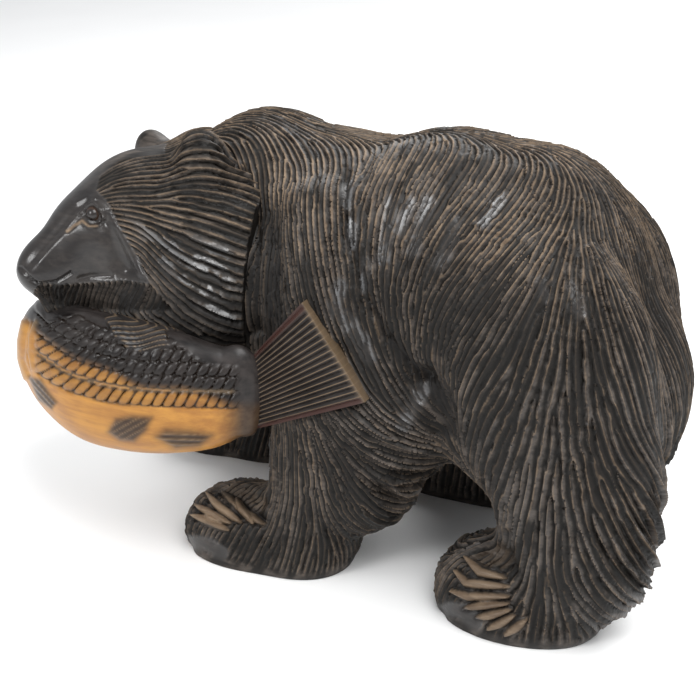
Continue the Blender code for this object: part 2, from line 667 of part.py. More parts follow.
def main():
    """Builds the figure as one solid in a collection of its own."""
    for obj in list(bpy.data.objects):
        bpy.data.objects.remove(obj)
    body = clay_body(masses())
    carve_coat(body)
    thinned(body, BEAR_TRIANGLES)
    fish = fish_body()
    thinned(fish, FISH_TRIANGLES)
    bear = united(body, [fish, *(fin(*values) for values in FINS)])
    without_pockets(bear)
    flat_soles(bear)
    set_points(bear.data, grid_to_metres(mesh_arrays(bear.data)[0]))
    bear.name = NAME
    bear.data.name = NAME
    bear.data.materials.clear()
    bear.data.materials.append(stained_wood())
    collection = bpy.data.collections.new(NAME)
    bpy.context.scene.collection.children.link(collection)
    for owner in list(bear.users_collection):
        owner.objects.unlink(bear)
    collection.objects.link(bear)


main()
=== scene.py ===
"""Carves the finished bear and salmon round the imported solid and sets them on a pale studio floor.

The bear walks towards -X with its left side at -Y. Its masses are laid out on a carver's grid of one
millimetre, and the gouge work is drawn on a template, which is the bear as the camera sees it, in squares
that run right and down from the upper left corner. What the template shows on the left side is also cut
on the right side.
"""

import math

import bpy
import numpy as np
from bpy.props import FloatProperty, FloatVectorProperty, IntProperty, PointerProperty
from mathutils import Matrix, Vector


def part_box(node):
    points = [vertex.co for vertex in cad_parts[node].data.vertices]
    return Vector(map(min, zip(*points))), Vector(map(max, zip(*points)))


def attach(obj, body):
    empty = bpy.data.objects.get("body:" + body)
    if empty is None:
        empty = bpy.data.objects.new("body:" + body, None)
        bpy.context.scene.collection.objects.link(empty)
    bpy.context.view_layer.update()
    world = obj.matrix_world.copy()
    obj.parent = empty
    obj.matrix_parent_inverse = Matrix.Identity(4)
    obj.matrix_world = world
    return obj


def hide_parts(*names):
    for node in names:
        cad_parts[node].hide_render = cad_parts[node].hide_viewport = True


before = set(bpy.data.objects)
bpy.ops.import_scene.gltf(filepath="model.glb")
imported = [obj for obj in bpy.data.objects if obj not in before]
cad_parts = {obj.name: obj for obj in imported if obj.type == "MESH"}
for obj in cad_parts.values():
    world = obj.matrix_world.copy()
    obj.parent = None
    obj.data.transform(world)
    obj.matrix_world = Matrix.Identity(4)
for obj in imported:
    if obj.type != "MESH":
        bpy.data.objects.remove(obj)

bl_info = {
    "name": "Carved bear with salmon",
    "version": (1, 0, 0),
    "blender": (4, 5, 0),
    "location": "3D View > Sidebar > Carving",
    "description": "Carves a walking bear with a salmon in its mouth and sets it on a pale floor",
    "category": "Object",
}

NODE = "carved_bear"
CAD_LOW, CAD_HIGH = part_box(NODE)

# The grid: metres to a square, and the grid point that stands at the origin.
SQUARE = 0.001
FIGURE_CENTRE = np.array([-32.0, -22.5, 0.0])
# How softly the masses melt together, and how far from a mass its pull is still worked out.
BLEND = 7.0
MASS_REACH = 46.0
NEVER = 1e9
# A ray from the camera: how far ahead it starts, its steps and the share of the free distance it takes.
RAY_START = 600
RAY_STEPS = 160
RAY_CAUTION = 0.6
# Segments and rings of a mass before it melts, rounds in which a skin settles, and the farthest step.
MASS_SEGMENTS = 32
MASS_RINGS = 18
SETTLING_ROUNDS = 3
SETTLING_STEP = 4

# Edges sharper than this many degrees stay crisp.
CREASE = 55
# The template's width, and the camera's sensor width in millimetres.
TEMPLATE = 700.0
SENSOR = 36.0

# The head's own frame: its centre on the grid, and how far it turns left, dips and rolls, in degrees.
HEAD_CENTRE = (-165.0, -65.0, 228.0)
HEAD_TURN = 48.0
HEAD_DIP = 8.0
HEAD_ROLL = 12.0

# How far the right legs stand ahead of the left ones, and the heights between which the trunk takes over.
FORE_STRIDE = -116.0
HIND_STRIDE = -112.0
LEG_STRIDE = -114.0
LEG_TOP = 112.0
TRUNK_BOTTOM = 160.0

# Masses: name, centre and radii on the grid, and a turn about the upright axis in degrees.
TRUNK = (
    ("rump", (104, 0, 191), (80, 98, 116), 0),
    ("haunches", (152, 0, 142), (63, 84, 76), 0),
    ("loin", (45, 0, 206), (100, 97, 106), 0),
    ("ribs", (-48, 0, 194), (100, 100, 106), 0),
    ("hump", (-103, 0, 241), (61, 70, 68), 0),
    ("belly", (10, 0, 146), (130, 84, 58), 0),
    ("breast", (-122, 6, 165), (62, 76, 76), 0),
    ("neck_root", (-106, -8, 236), (60, 64, 62), 0),
    ("neck_end", (-146, -46, 228), (56, 56, 58), 0),
)
LEGS = (
    ("left_shoulder", (-20, -64, 200), (62, 46, 84), 0),
    ("left_upper_arm", (10, -72, 134), (68, 40, 58), 0),
    ("left_forearm", (-4, -75, 84), (57, 36, 52), 0),
    ("left_wrist", (-28, -76, 34), (34, 35, 46), 0),
    ("left_thigh", (132, -62, 176), (74, 50, 94), 0),
    ("left_shin", (166, -74, 108), (54, 42, 70), 0),
    ("left_hock", (170, -75, 62), (50, 37, 52), 0),
    ("right_shoulder", (-30, 62, 200), (62, 48, 84), 0),
    ("right_upper_arm", (-60, 70, 136), (62, 40, 62), 0),
    ("right_forearm", (-110, 68, 88), (48, 37, 60), 0),
    ("right_wrist", (-138, 64, 34), (38, 35, 46), 0),
    ("right_thigh", (114, 62, 176), (74, 52, 94), 0),
    ("right_shin", (72, 74, 108), (62, 42, 70), 0),
    ("right_hock", (50, 78, 48), (48, 36, 56), 0),
)
PAWS = (
    ("left_fore_heel", (-42, -76, 10), (38, 36, 24), 0),
    ("left_fore_toes", (-80, -82, 10), (51, 38, 40), 8),
    ("left_hind_heel", (144, -74, 10), (43, 35, 24), 0),
    ("left_hind_toes", (118, -76, 14), (48, 38, 44), 0),
    ("right_fore_heel", (-150, 62, 10), (42, 36, 24), 0),
    ("right_fore_toes", (-196, 56, 10), (44, 38, 36), 0),
    ("right_hind_heel", (50, 80, 10), (46, 34, 24), 0),
    ("right_hind_toes", (8, 80, 10), (42, 37, 36), 0),
)
# Masses of the head: name, then centre and radii as forward, left and up in the head's own frame.
HEAD = (
    ("skull", (0, 0, 10), (50, 46, 50)),
    ("left_ruff", (-30, 42, -22), (46, 44, 60)),
    ("right_ruff", (-30, -38, -20), (48, 44, 58)),
    ("nape", (-50, 0, 10), (40, 50, 54)),
    ("brow", (26, 0, 14), (36, 32, 26)),
    ("muzzle", (54, 0, -8), (36, 20, 21)),
    ("bridge", (65, 0, 2), (21, 14, 13)),
    ("stop", (43, 0, 14), (22, 19, 18)),
    ("nose", (86, 0, -6), (10, 11, 9)),
    ("chin", (52, 0, -34), (34, 15, 13)),
    ("jowl", (14, 14, -34), (38, 26, 26)),
    ("throat", (-2, 18, -54), (50, 46, 38)),
    ("bib", (-34, 52, -52), (40, 30, 34)),
    ("left_ear", (-40, 44, 50), (14, 18, 17)),
    ("right_ear", (-22, -44, 52), (12, 16, 16)),
)
# Masses that carry the ruff back to its cut rear edge, and the upright plane that cuts it.
COLLAR = (
    ("left_collar", (-50, 44, -24), (50, 45, 62)),
    ("right_collar", (-50, -40, -20), (50, 45, 60)),
)
COLLAR_CUT = (-66.0, -108.0, 215.0)
COLLAR_NORMAL = (0.98, 0.19, -0.04)
HEAD_TRIANGLES = 190000
# The body's skin is parted crosswise and lengthwise so that each quarter can be fine: a point on both
# planes, the normal of each, and each quarter's name with its side of the two planes.
PARTING = (30.0, 0.0, 161.6)
CROSSWISE = (0.971, 0.0, 0.2385)
LENGTHWISE = (0.0, 1.0, 0.0)
QUARTERS = (("left_forequarter", -1, -1), ("right_forequarter", -1, 1),
            ("left_hindquarter", 1, -1), ("right_hindquarter", 1, 1))

# Regions of the body: name, then the stretches ahead and up over which each fades in. The whole body lies
# past the stretch called anywhere.
ANYWHERE = (-1000, -999)
REGIONS = (
    ("thigh", (85, 125), (250, 190)),
    ("rump", (172, 205), (90, 140)),
    ("foreleg", (60, 20), (150, 110)),
    ("above", ANYWHERE, (215, 275)),
)
# Tufts behind the legs: name, middle and reach ahead, then middle and reach up.
FRINGES = (("foreleg_fringe", 58, 26, 92, 40), ("hindleg_fringe", 218, 20, 85, 50))
# The gouge work's plan: what is planned, its value over all, and what each region adds to it.
BODY_PLAN = (
    ("tuft", 0.5, (("fringe", 5.5),)),
    ("tier", 0.8, (("thigh", -0.3), ("rump", -0.5))),
    ("pitch", 1.0, (("thigh", 0.45), ("rump", -0.2), ("foreleg", 0.1))),
    ("depth", 1.0, (("thigh", 0.3), ("rump", -0.45), ("fringe", 0.9))),
    ("full", 0.1, (("above", 0.85), ("low_rump", 0.3))),
    ("worn", 0.5, (("above", 0.5), ("thigh", 0.1), ("low_rump", 0.1))),
)
# How much gloss the thigh has, with a painted glint on its locks.
THIGH_GLOSS_AND_GLINT = 0.25
# Heights between which the hair starts over the smooth edge of a sole.
SOLE_EDGE = (2, 10)

# Combed strokes: each is a run of grid points that the hair follows from root to tip on the left side.
BODY_STROKES = (
    ((-115, -40, 300), (-105, -15, 310), (-75, -15, 305), (-50, -30, 295), (-15, -75, 285)),
    ((-75, 5, 310), (-35, -15, 300), (-20, -35, 290), (-5, -60, 285)),
    ((-105, -45, 300), (-90, -60, 285), (-85, -75, 275)),
    ((-95, -40, 300), (-70, -45, 295), (-60, -70, 275), (-65, -85, 260)),
    ((-75, -60, 285), (-65, -75, 270), (-70, -90, 250)),
    ((-70, -45, 295), (-45, -75, 280), (-35, -95, 260)),
    ((-45, -50, 290), (-25, -90, 270), (-20, -110, 225)),
    ((-20, -75, 285), (-5, -95, 255), (10, -105, 220)),
    ((-15, -70, 285), (5, -90, 265), (20, -100, 235), (35, -100, 195)),
    ((-55, -95, 245), (-60, -105, 225), (-60, -105, 190)),
    ((-20, -105, 245), (-10, -110, 220), (5, -110, 195)),
    ((-10, -100, 255), (0, -105, 220), (15, -105, 180)),
    ((0, -70, 285), (5, -85, 270), (15, -95, 245)),
    ((15, -70, 280), (20, -90, 260), (25, -95, 240)),
    ((-10, 0, 300), (-5, -20, 298), (-15, -50, 285)),
    ((0, 0, 305), (10, -15, 303), (5, -35, 295), (0, -55, 285)),
    ((20, 0, 312), (35, -20, 310), (35, -40, 300), (25, -60, 290)),
    ((45, 0, 312), (60, -15, 310), (60, -40, 305), (45, -60, 290)),
    ((70, 0, 312), (85, -10, 310), (90, -40, 300), (75, -60, 290)),
    ((95, 0, 308), (110, -15, 305), (115, -45, 295), (100, -65, 285)),
    ((25, -55, 290), (25, -70, 280), (25, -85, 260)),
    ((50, -55, 295), (50, -75, 275), (45, -85, 260)),
    ((65, -60, 290), (65, -75, 275), (55, -85, 255)),
    ((85, -55, 290), (85, -70, 275), (70, -85, 255)),
    ((35, -85, 255), (30, -95, 235), (35, -100, 210), (50, -100, 190)),
    ((55, -85, 255), (45, -95, 230), (50, -100, 205), (60, -100, 180)),
    ((75, -85, 260), (65, -95, 235), (60, -100, 210), (70, -100, 175)),
    ((110, -65, 280), (90, -80, 265), (75, -90, 245), (65, -100, 215)),
    ((125, -70, 275), (110, -90, 255), (85, -100, 230), (75, -100, 205)),
    ((50, -100, 200), (55, -100, 170), (70, -100, 145)),
    ((30, -100, 225), (40, -100, 190), (55, -100, 160)),
    ((120, 0, 305), (130, -10, 300), (140, -35, 285), (155, -80, 260)),
    ((125, -50, 290), (125, -80, 270), (115, -95, 245), (85, -100, 215), (70, -100, 190)),
    ((140, 0, 295), (155, -15, 280), (170, -25, 250), (185, -25, 215), (200, -25, 170)),
    ((155, -80, 260), (160, -105, 220), (160, -110, 170)),
    ((140, -85, 260), (135, -105, 225), (120, -110, 190), (90, -105, 155)),
    ((165, -85, 250), (185, -90, 215), (200, -80, 175), (210, -70, 145)),
    ((175, -80, 245), (200, -80, 205), (205, -60, 150)),
    ((190, -30, 215), (205, -20, 170), (208, -15, 125)),
    ((-60, -80, 140), (0, -60, 92), (60, -60, 92)),
    ((-170, -40, 170), (-150, -30, 120), (-110, -10, 95)),
)
FORELEG_STROKES = (
    ((-50, -95, 105), (-45, -100, 70), (-50, -110, 25)),
    ((-25, -110, 125), (-20, -110, 85), (-30, -115, 30)),
    ((-5, -115, 130), (5, -110, 90), (-5, -110, 30)),
    ((15, -110, 155), (35, -110, 140), (55, -105, 140), (70, -100, 155)),
    ((10, -115, 130), (35, -110, 115), (55, -95, 110), (75, -90, 112)),
    ((15, -110, 110), (30, -105, 85), (45, -85, 70), (55, -75, 66)),
    ((5, -110, 75), (15, -100, 55), (28, -85, 45)),
    ((-35, -105, 65), (-55, -110, 25), (-65, -120, 10)),
    ((15, -105, 180), (35, -110, 155), (50, -105, 140)),
    ((5, -110, 195), (15, -110, 165), (40, -110, 150)),
    ((-20, -40, 120), (-15, -40, 70), (-30, -40, 20)),
)
HINDLEG_STROKES = (
    ((160, -110, 170), (160, -115, 105), (160, -110, 20)),
    ((145, -105, 225), (135, -115, 180), (115, -110, 140), (95, -105, 110)),
    ((140, -110, 185), (135, -115, 140), (125, -115, 100), (110, -110, 80)),
    ((145, -115, 130), (140, -115, 85), (125, -105, 35), (110, -115, 15)),
    ((175, -100, 210), (185, -100, 165), (205, -95, 135), (222, -80, 122)),
    ((175, -105, 165), (185, -110, 125), (205, -100, 85), (218, -80, 65)),
    ((170, -115, 120), (180, -115, 80), (195, -105, 50), (210, -85, 38)),
    ((150, -40, 120), (155, -40, 70), (150, -40, 20)),
)
HEAD_STROKES = (
    ((-170, -105, 270), (-160, -90, 280), (-130, -80, 290), (-100, -70, 290)),
    ((-165, -105, 265), (-140, -95, 270), (-110, -90, 275), (-85, -75, 270)),
    ((-155, -110, 260), (-130, -105, 265), (-95, -100, 260), (-75, -90, 250)),
    ((-155, -110, 255), (-125, -110, 250), (-90, -110, 235), (-70, -100, 230)),
    ((-150, -110, 250), (-120, -115, 235), (-90, -115, 215), (-70, -105, 215)),
    ((-145, -115, 235), (-120, -120, 215), (-95, -115, 195), (-70, -105, 190)),
    ((-140, -115, 215), (-115, -115, 195), (-95, -110, 180), (-75, -110, 170)),
    ((-180, -100, 275), (-180, -75, 285), (-165, -60, 290), (-145, -60, 295)),
    ((-125, -115, 200), (-110, -115, 185), (-85, -110, 170)),
)
# Where no stroke is near, the hair hangs this way, with this small pull.
LAZY_FLOW = (0.35, 0.0, -1.0)
LAZY_PULL = 0.02

# The face on the template: its smooth part, and the lip's fringe below it.
FACE = ((0, 290), (8, 250), (83, 158), (112, 148), (134, 138), (140, 122), (172, 126), (164, 153),
        (120, 160), (100, 176), (96, 190), (106, 200), (118, 224), (138, 258), (150, 284), (125, 280),
        (60, 285), (40, 283), (34, 292), (30, 305), (0, 305))
# Where the lower ruff is glossy and carries a painted glint.
RUFF_GLOSS_AND_GLINT_OUTLINE = ((112, 205), (170, 225), (238, 240), (240, 330), (205, 318), (150, 262))
# Centre of the painted shade round the throat, under the head.
THROAT = (190, 345)
FAR_EAR = (-22, -44, 54)
LIP_FRINGE = ((36, 284), (60, 286), (125, 281), (150, 285), (175, 312), (120, 312), (40, 306))
FRINGE_COMB = (0.22, 1.0)

# Cuts on the template: name, run, half width in squares and depth in millimetres. Each cut is also darkened
# as painted shade.
BODY_CUTS = (
    ("ruff_hollow", ((262, 215), (266, 270), (262, 335)), 22, 8.0),
    ("ruff_shadow", ((244, 168), (246, 200), (249, 260), (248, 335)), 5, 4.0),
    ("shoulder_crease", ((345, 178), (350, 230), (365, 290), (385, 335), (405, 360), (425, 380)), 5, 3.2),
    ("elbow_hollow", ((425, 380), (440, 400), (446, 430)), 12, 6.0),
    ("fore_paw_line", ((212, 487), (240, 500), (262, 520)), 5, 2.6),
    ("hind_paw_line", ((505, 535), (508, 560), (512, 572)), 5, 3.0),
)
# Glossy facets on the template, where the locks are shallower and carry a painted glint: name, run and half
# width in squares.
GLINT_FACETS = (
    ("shoulder_facet", ((348, 186), (347, 202)), 7),
    ("first_rib_facet", ((392, 203), (384, 258)), 8),
    ("second_rib_facet", ((408, 203), (398, 228)), 8),
    ("third_rib_facet", ((428, 203), (412, 252)), 8),
    ("fourth_rib_facet", ((456, 222), (440, 262)), 9),
    ("first_arm_facet", ((352, 222), (350, 246)), 7),
    ("second_arm_facet", ((366, 262), (363, 288)), 7),
    ("third_arm_facet", ((340, 285), (333, 312)), 8),
    ("fourth_arm_facet", ((345, 318), (368, 356)), 11),
    ("loin_glint", ((500, 198), (484, 222)), 8),
    ("thigh_glint", ((541, 282), (546, 300)), 6),
    ("rump_glint", ((573, 286), (580, 314)), 7),
    ("belly_glint", ((420, 395), (404, 425)), 9),
)
# Claws on the template: runs from tip to root.
CLAWS = (
    ((192, 515), (211, 521), (227, 530)),
    ((196, 505), (211, 514), (229, 523)),
    ((207, 493), (219, 507), (240, 522)),
    ((221, 490), (236, 502), (252, 523)),
    ((236, 496), (243, 510), (262, 524)),
    ((465, 557), (480, 572), (505, 578)),
    ((455, 571), (466, 583), (508, 587)),
    ((451, 591), (468, 597), (508, 597)),
    ((462, 609), (480, 606), (508, 604)),
    ((475, 618), (490, 616), (510, 610)),
    ((488, 629), (500, 624), (514, 616)),
    ((505, 635), (515, 629), (526, 620)),
)
SCOOPS = (
    ("fore_scoop", ((190, 543), (206, 545), (220, 554)), 8, 2.2),
    ("hind_scoop", ((446, 610), (460, 612), (474, 624)), 8, 2.2),
)
# Brown hollows over the claws: name, run, half width in squares and depth in millimetres.
HOLLOWS = (
    ("fore_hollow", ((228, 491), (246, 493), (258, 503)), 8, 3.0),
    ("hind_hollow", ((480, 560), (492, 551), (502, 560)), 9, 3.5),
)
HEAD_CUTS = (
    ("bridge_groove", ((26, 266), (42, 247), (60, 227), (76, 207), (86, 198)), 5.5, 1.7),
    ("socket", ((88, 212), (94, 220)), 8, 3.4),
    ("tear_groove", ((68, 231), (76, 221), (84, 208)), 2.4, 1.2),
    ("cheek_groove", ((103, 222), (113, 244), (124, 270)), 8.0, 3.2),
    ("mouth", ((30, 281), (38, 284), (48, 283), (57, 282), (65, 277), (71, 273)), 1.7, 1.9),
    ("nose_wing", ((20, 268), (29, 277), (36, 283)), 2.0, 1.4),
    ("lip_fold", ((80, 279), (92, 276), (110, 276)), 3.0, 1.2),
)
HEAD_RIDGES = (
    ("brow_rim", ((76, 202), (86, 196), (95, 198)), 2.6, 1.0),
    ("bridge_rim", ((40, 262), (55, 243), (68, 231)), 4.0, 0.6),
    ("cheek_ridge", ((118, 228), (130, 252), (142, 274)), 4.0, 1.2),
    ("upper_lid", ((79, 214), (85, 206), (93, 203), (101, 210), (103, 218)), 1.9, 2.4),
    ("lower_lid", ((82, 222), (90, 227), (98, 225), (103, 218)), 1.6, 1.6),
)
EYE_WHITES = (
    (((67, 231), (74, 225), (82, 221)), 2.1),
    (((82, 221), (88, 226), (96, 226)), 1.5),
)
EYE = (91, 215)
EYE_RADIUS = 5.2
EYE_DEPTH = 4.1

# The gouge work: reach of a stroke, spacing of the tufts, how much of a lock's width its steep side takes,
# and the cells in which the locks are laid out, from coarse to fine.
STROKE_REACH = 20.0
TUFT_PITCH = 15.0
# How many reaches away a stroke still pulls on the hair.
STROKE_END = 3.2
LEAN = 0.3
BODY_LADDER = (6.0, 3.0, 1.6)
HEAD_LADDER = (6.0, 3.0, 1.4)
TUFT_LADDER = (7.0, 4.0)
BODY_SEED = 11
HEAD_SEED = 23
ROUGH_ROUNDS = 200
LAST_ROUNDS = 30
# The first cells of a clay skin, and how much finer than the body's the head's last cells are.
CLAY_CELL = 4.0
HEAD_FINER = 0.85
# How far the locks snap to the skin's own cells, so that their edges stay clean, and a snap's width in cells.
SNAP = 0.7
SNAP_WIDTH = 0.7
# Locks lie in tiers: how wide and long a tier's patches are, their rounds of evening, and how far, in
# radians, locks waver there.
TIER_WIDTH = 7.0
TIER_LENGTH = 26.0
TIER_ROUNDS = 3
WAVER = 0.55

# Streaks of noise along the hair: grain, length and rounds of evening, for whole strands and fine lines.
STRAND_STREAKS = (4.0, 48.0, 5)
FINE_STREAKS = (1.4, 30.0, 1)
# The cells that a streak reads the hair's direction from, and its steps each way.
STREAK_CELL = 3.0
STREAK_STEPS = 6
# How much a strand deepens its channels, within which limits, and how high the fine lines stand.
STRAND_DEPTH = 0.4
DEPTH_LIMITS = (0.45, 1.7)
FINE_RELIEF = 0.03
# Where the clay's own surface lies in a lock's height and in a tuft's, and where a tier steps up.
LOCK_LEVEL = 0.9
TUFT_LEVEL = 0.45
TIER_STEP = (-0.12, 0.12)
# Heights of a lock and strengths of a strand between which the painted glint comes up.
GLINT_RIDGE = (0.12, 0.5)
GLINT_STRAND = (-0.15, 0.2)
# How far a surface has to face the camera to carry what the template shows.
FACING = (-0.05, 0.25)

# A claw: half width, height, and its groove's depth, half width and place in half widths of the claw.
CLAW_WIDTH = 4.4
CLAW_HEIGHT = 2.3
CLAW_GROOVE = 1.6
CLAW_GROOVE_WIDTH = 1.5
CLAW_GROOVE_PLACE = 1.25

# The head's plan: stretches of the template, across, over which the ruff comes in, and down, over which its
# wear fades; the strength of the ruff's gloss and painted glint, and the share of the tan that the paws'
# hollows take.
RUFF_AT = (110, 235)
WEAR_FADES = (215, 290)
SHEEN_AT = (172, 200)
RUFF_GLOSS_AND_GLINT = 0.9
HOLLOW_TAN = 0.35
# Distances on the template over which the throat's painted shade fades out.
THROAT_REACH = (62, 50)

# The fish: centre of each section on the grid, then its half width and half height.
FISH = (
    (-279, -42, 120, 0, 0),
    (-277, -47, 121, 6, 8),
    (-267, -63, 125, 15, 22),
    (-250, -88, 131, 22, 34),
    (-231, -108, 136, 24, 42),
    (-208, -122, 138, 26, 47),
    (-180, -132, 139, 27, 51),
    (-145, -135, 140, 26, 50),
    (-110, -133, 142, 24, 46),
    (-85, -129, 144, 20, 41),
    (-66, -124, 147, 15, 34),
    (-52, -116, 149, 9, 29),
    (-44, -108, 149, 0, 0),
)
# The fish on the template.
LATERAL_LINE = ((26, 343), (33, 350), (40, 355), (50, 362), (62, 370), (75, 376), (90, 381), (105, 385),
                (125, 388), (150, 390), (190, 391), (240, 392))
DORSAL_FIN = ((104, 318), (138, 311), (160, 312), (166, 330), (170, 349), (145, 352), (128, 350), (114, 336))
PELVIC_FIN = ((108, 432), (116, 419), (132, 416), (152, 417), (146, 430), (134, 441), (120, 440))
ANAL_FIN = ((156, 437), (166, 430), (190, 431), (212, 435), (200, 445), (176, 448))
PECTORAL_FIN = ((28, 376), (42, 379), (50, 392), (58, 402), (52, 410), (38, 400))
GILLS = (
    ("gill_edge", ((36, 322), (31, 336), (30, 352), (33, 368)), 2.2, 1.8),
    ("cheek_edge", ((24, 322), (20, 340), (20, 360), (26, 378)), 2.4, 1.8),
)
GILL_GROOVES = (
    ("gill_groove", ((33, 322), (28, 336), (27, 352), (30, 368)), 1.6, 1.6),
    ("cheek_groove", ((28, 322), (24, 340), (23, 360), (29, 376)), 1.6, 1.4),
)
# The tail: root line and tip line on the grid, from top to bottom.
TAIL_ROOT = ((-55, -117, 170), (-60, -118, 116))
TAIL_TIP = ((-14, -114, 219), (31, -113, 157))
TAIL_RAYS = 17
TAIL_DEPTH = 18.0
TAIL_CELLS = (136, 36)
# The tail's bulge and rays, the rear rim's stretch and height, and the rusty bands at the top and bottom.
TAIL_BULGE = 3.0
RAY_HEIGHT = 1.5
TAIL_RIM = (0.965, 0.99)
TAIL_RIM_HEIGHT = 1.0
TOP_BAND = (0.09, 0.04)
BOTTOM_BAND = (0.93, 0.97)
# Cells round and along the fish, and the rows of scales: how far above the lateral line, and how wide.
FISH_CELLS = (216, 400)
SCALE_ROWS = ((-9, 17), (8.5, 15), (22, 15), (35.5, 15), (49, 15))
# Share of a scale's relief that stands below the fish's skin.
SCALE_MIDDLE = 0.6
# Millimetres that one square of the template spans on the fish.
SQUARE_SPAN = 0.75
# The shade under the jaw on the template, where the scales end.
JAW_SHADE = ((40, 300), (130, 298), (110, 309), (64, 318), (44, 322))
# The scales' top edge over the lateral line, how much it drops and over which stretch, and their other ends.
SCALES_TOP = 60
SCALES_DROP = 34
SCALES_DROP_AT = (150, 215)
SCALES_LOW = (-19, -16)
SCALES_FRONT = (33, 38)
SCALES_REAR = (243, 234)
# The lateral line's half width, height and ends.
LINE_WIDTH = 1.8
LINE_HEIGHT = 0.7
LINE_FRONT = (30, 34)
LINE_REAR = (238, 230)
# Where amber ends over the lateral line, how much it drops by the fin and by the tail, and where it chars.
AMBER_TOP = 15
AMBER_DROPS = ((14, 105, 145), (14, 180, 238))
AMBER_SOFT = (7, -6)
CHARRED = (212, 246)
# Fins on the template: outline, slope of the rays and their spacing.
FINS = ((PELVIC_FIN, 0.55, 6.5), (ANAL_FIN, -0.02, 5.0), (PECTORAL_FIN, -1.1, 5.5))
# The dorsal fin's rays: their slope, the height and length of their wave, and their spacing.
DORSAL_SLOPE = 0.10
DORSAL_WAVE = 1.6
DORSAL_WAVE_LENGTH = 8
DORSAL_SPACING = 4.6
# Lamps: name, place, aim, width in metres and power as a share of the key light's.
LAMPS = (
    ("key_light", (0.9, -0.5, 1.7), (0, 0, 0.1), 1.2, 1.0),
    ("front_light", (-0.7, -1.65, 1.1), (-0.02, 0, 0.15), 0.6, 0.45),
    ("far_light", (0.0, 3.0, 2.2), (0.0, 3.0, 0.0), 3.0, 1.5),
    ("rear_light", (-0.2, 1.4, 1.2), (0, 0, 0.2), 1.0, 0.4),
)
# Colours that the panel doesn't offer.
GREY_STAIN = (0.105, 0.087, 0.074, 1.0)
DIM_WORN = (0.125, 0.085, 0.055, 1.0)
# Painted shade for the channels below the ridges' crests.
CHANNEL_SHADE = (0.004, 0.0035, 0.003, 1.0)
DUST = (0.33, 0.31, 0.29, 1.0)
# Painted shadow in the cut hollows and round the throat; the lip's fringe is darkened with it too.
SHADOW = (0.007, 0.006, 0.0055, 1.0)
THIN_LACQUER = (0.034, 0.030, 0.028, 1.0)
# A painted highlight: the silver glint on the glossy facets and the ruff.
PAINTED_GLINT = (0.15, 0.152, 0.155, 1.0)
DEEP_AMBER = (0.33, 0.14, 0.032, 1.0)
PALE_BACK = (0.034, 0.028, 0.026, 1.0)
SCALE_GROOVE = (0.010, 0.006, 0.004, 1.0)
WORN_EDGE = (0.40, 0.27, 0.15, 1.0)
RUST = (0.055, 0.022, 0.017, 1.0)
EYE_RING = (0.05, 0.028, 0.018, 1.0)
PUPIL = (0.012, 0.009, 0.008, 1.0)
EYE_FLECK = (0.03, 0.02, 0.015, 1.0)
CLOUDED_FLOOR = (0.95, 0.95, 0.945, 1.0)
FLOOR_WIDTH = 14.0
FLOOR_DROP = 0.0004
AIR_STRENGTH = 0.5


def colour_setting(name, description, value):
    """A colour that the panel offers."""
    return FloatVectorProperty(name=name, description=description, subtype="COLOR", size=4,
                               default=(*value, 1.0), min=0.0, max=1.0)


def length_setting(name, description, value, low, high):
    """A length in metres that the panel offers."""
    return FloatProperty(name=name, description=description, default=value, min=low, max=high, unit="LENGTH")


class CoatSettings(bpy.types.PropertyGroup):
    """The bear's gouged coat and lacquered face."""

    pitch: length_setting("Gouge pitch", "Distance from one ridge of hair to the next", 0.0039, 0.002, 0.012)
    depth: length_setting("Gouge depth", "Depth of a channel below its ridges", 0.0016, 0.0, 0.004)
    cell: length_setting("Finest cell", "Size of the carved skin's cells", 0.00105, 0.0006, 0.004)
    budget: IntProperty(name="Triangles", description="Triangles left on each quarter of the body",
                        default=150000, min=20000, max=199000)
    stain: colour_setting("Stain", "Dark stain in the channels", (0.013, 0.011, 0.0095))
    worn: colour_setting("Worn wood", "Bare wood where the ridges are worn", (0.250, 0.180, 0.118))
    lacquer: colour_setting("Lacquer", "Black lacquer of the face", (0.018, 0.016, 0.016))


class SalmonSettings(bpy.types.PropertyGroup):
    """The salmon's scales and stains."""

    scale_length: length_setting("Scale length", "Distance from one scale to the next", 0.0081, 0.004, 0.02)
    relief: length_setting("Scale relief", "Height of a scale over its groove", 0.0024, 0.0, 0.0045)
    belly: colour_setting("Belly", "Amber stain of the belly", (0.52, 0.248, 0.05))
    back: colour_setting("Back", "Charcoal stain of the back", (0.006, 0.005, 0.005))


class StageSettings(bpy.types.PropertyGroup):
    """The floor, the lights and the camera."""

    azimuth: FloatProperty(name="Azimuth", description="Camera's turn about the upright axis",
                           default=math.radians(27), subtype="ANGLE")
    elevation: FloatProperty(name="Elevation", description="Camera's angle over the floor",
                             default=math.radians(24), subtype="ANGLE")
    distance: length_setting("Distance", "Camera's distance from its target", 0.975, 0.2, 10.0)
    target: FloatVectorProperty(name="Target", description="Point that the camera looks at", size=3,
                                default=(-0.006, 0.0225, 0.135), subtype="TRANSLATION", unit="LENGTH")
    lens: FloatProperty(name="Lens", description="Camera's focal length in millimetres",
                        default=66.857, min=10.0)
    floor: colour_setting("Floor", "Colour of the floor", (0.93, 0.93, 0.925))
    key: FloatProperty(name="Key light", description="Power of the main soft light in watts",
                       default=34.0, min=0.0)


def deselect():
    """Clears the selection, which the loaded frame starts with."""
    bpy.ops.object.select_all(action="DESELECT")


def take(obj):
    """Makes one object the only one that operators act on."""
    deselect()
    obj.select_set(True)
    bpy.context.view_layer.objects.active = obj


def apply_all(obj):
    """Applies an object's modifiers in order."""
    take(obj)
    for modifier in list(obj.modifiers):
        bpy.ops.object.modifier_apply(modifier=modifier.name)


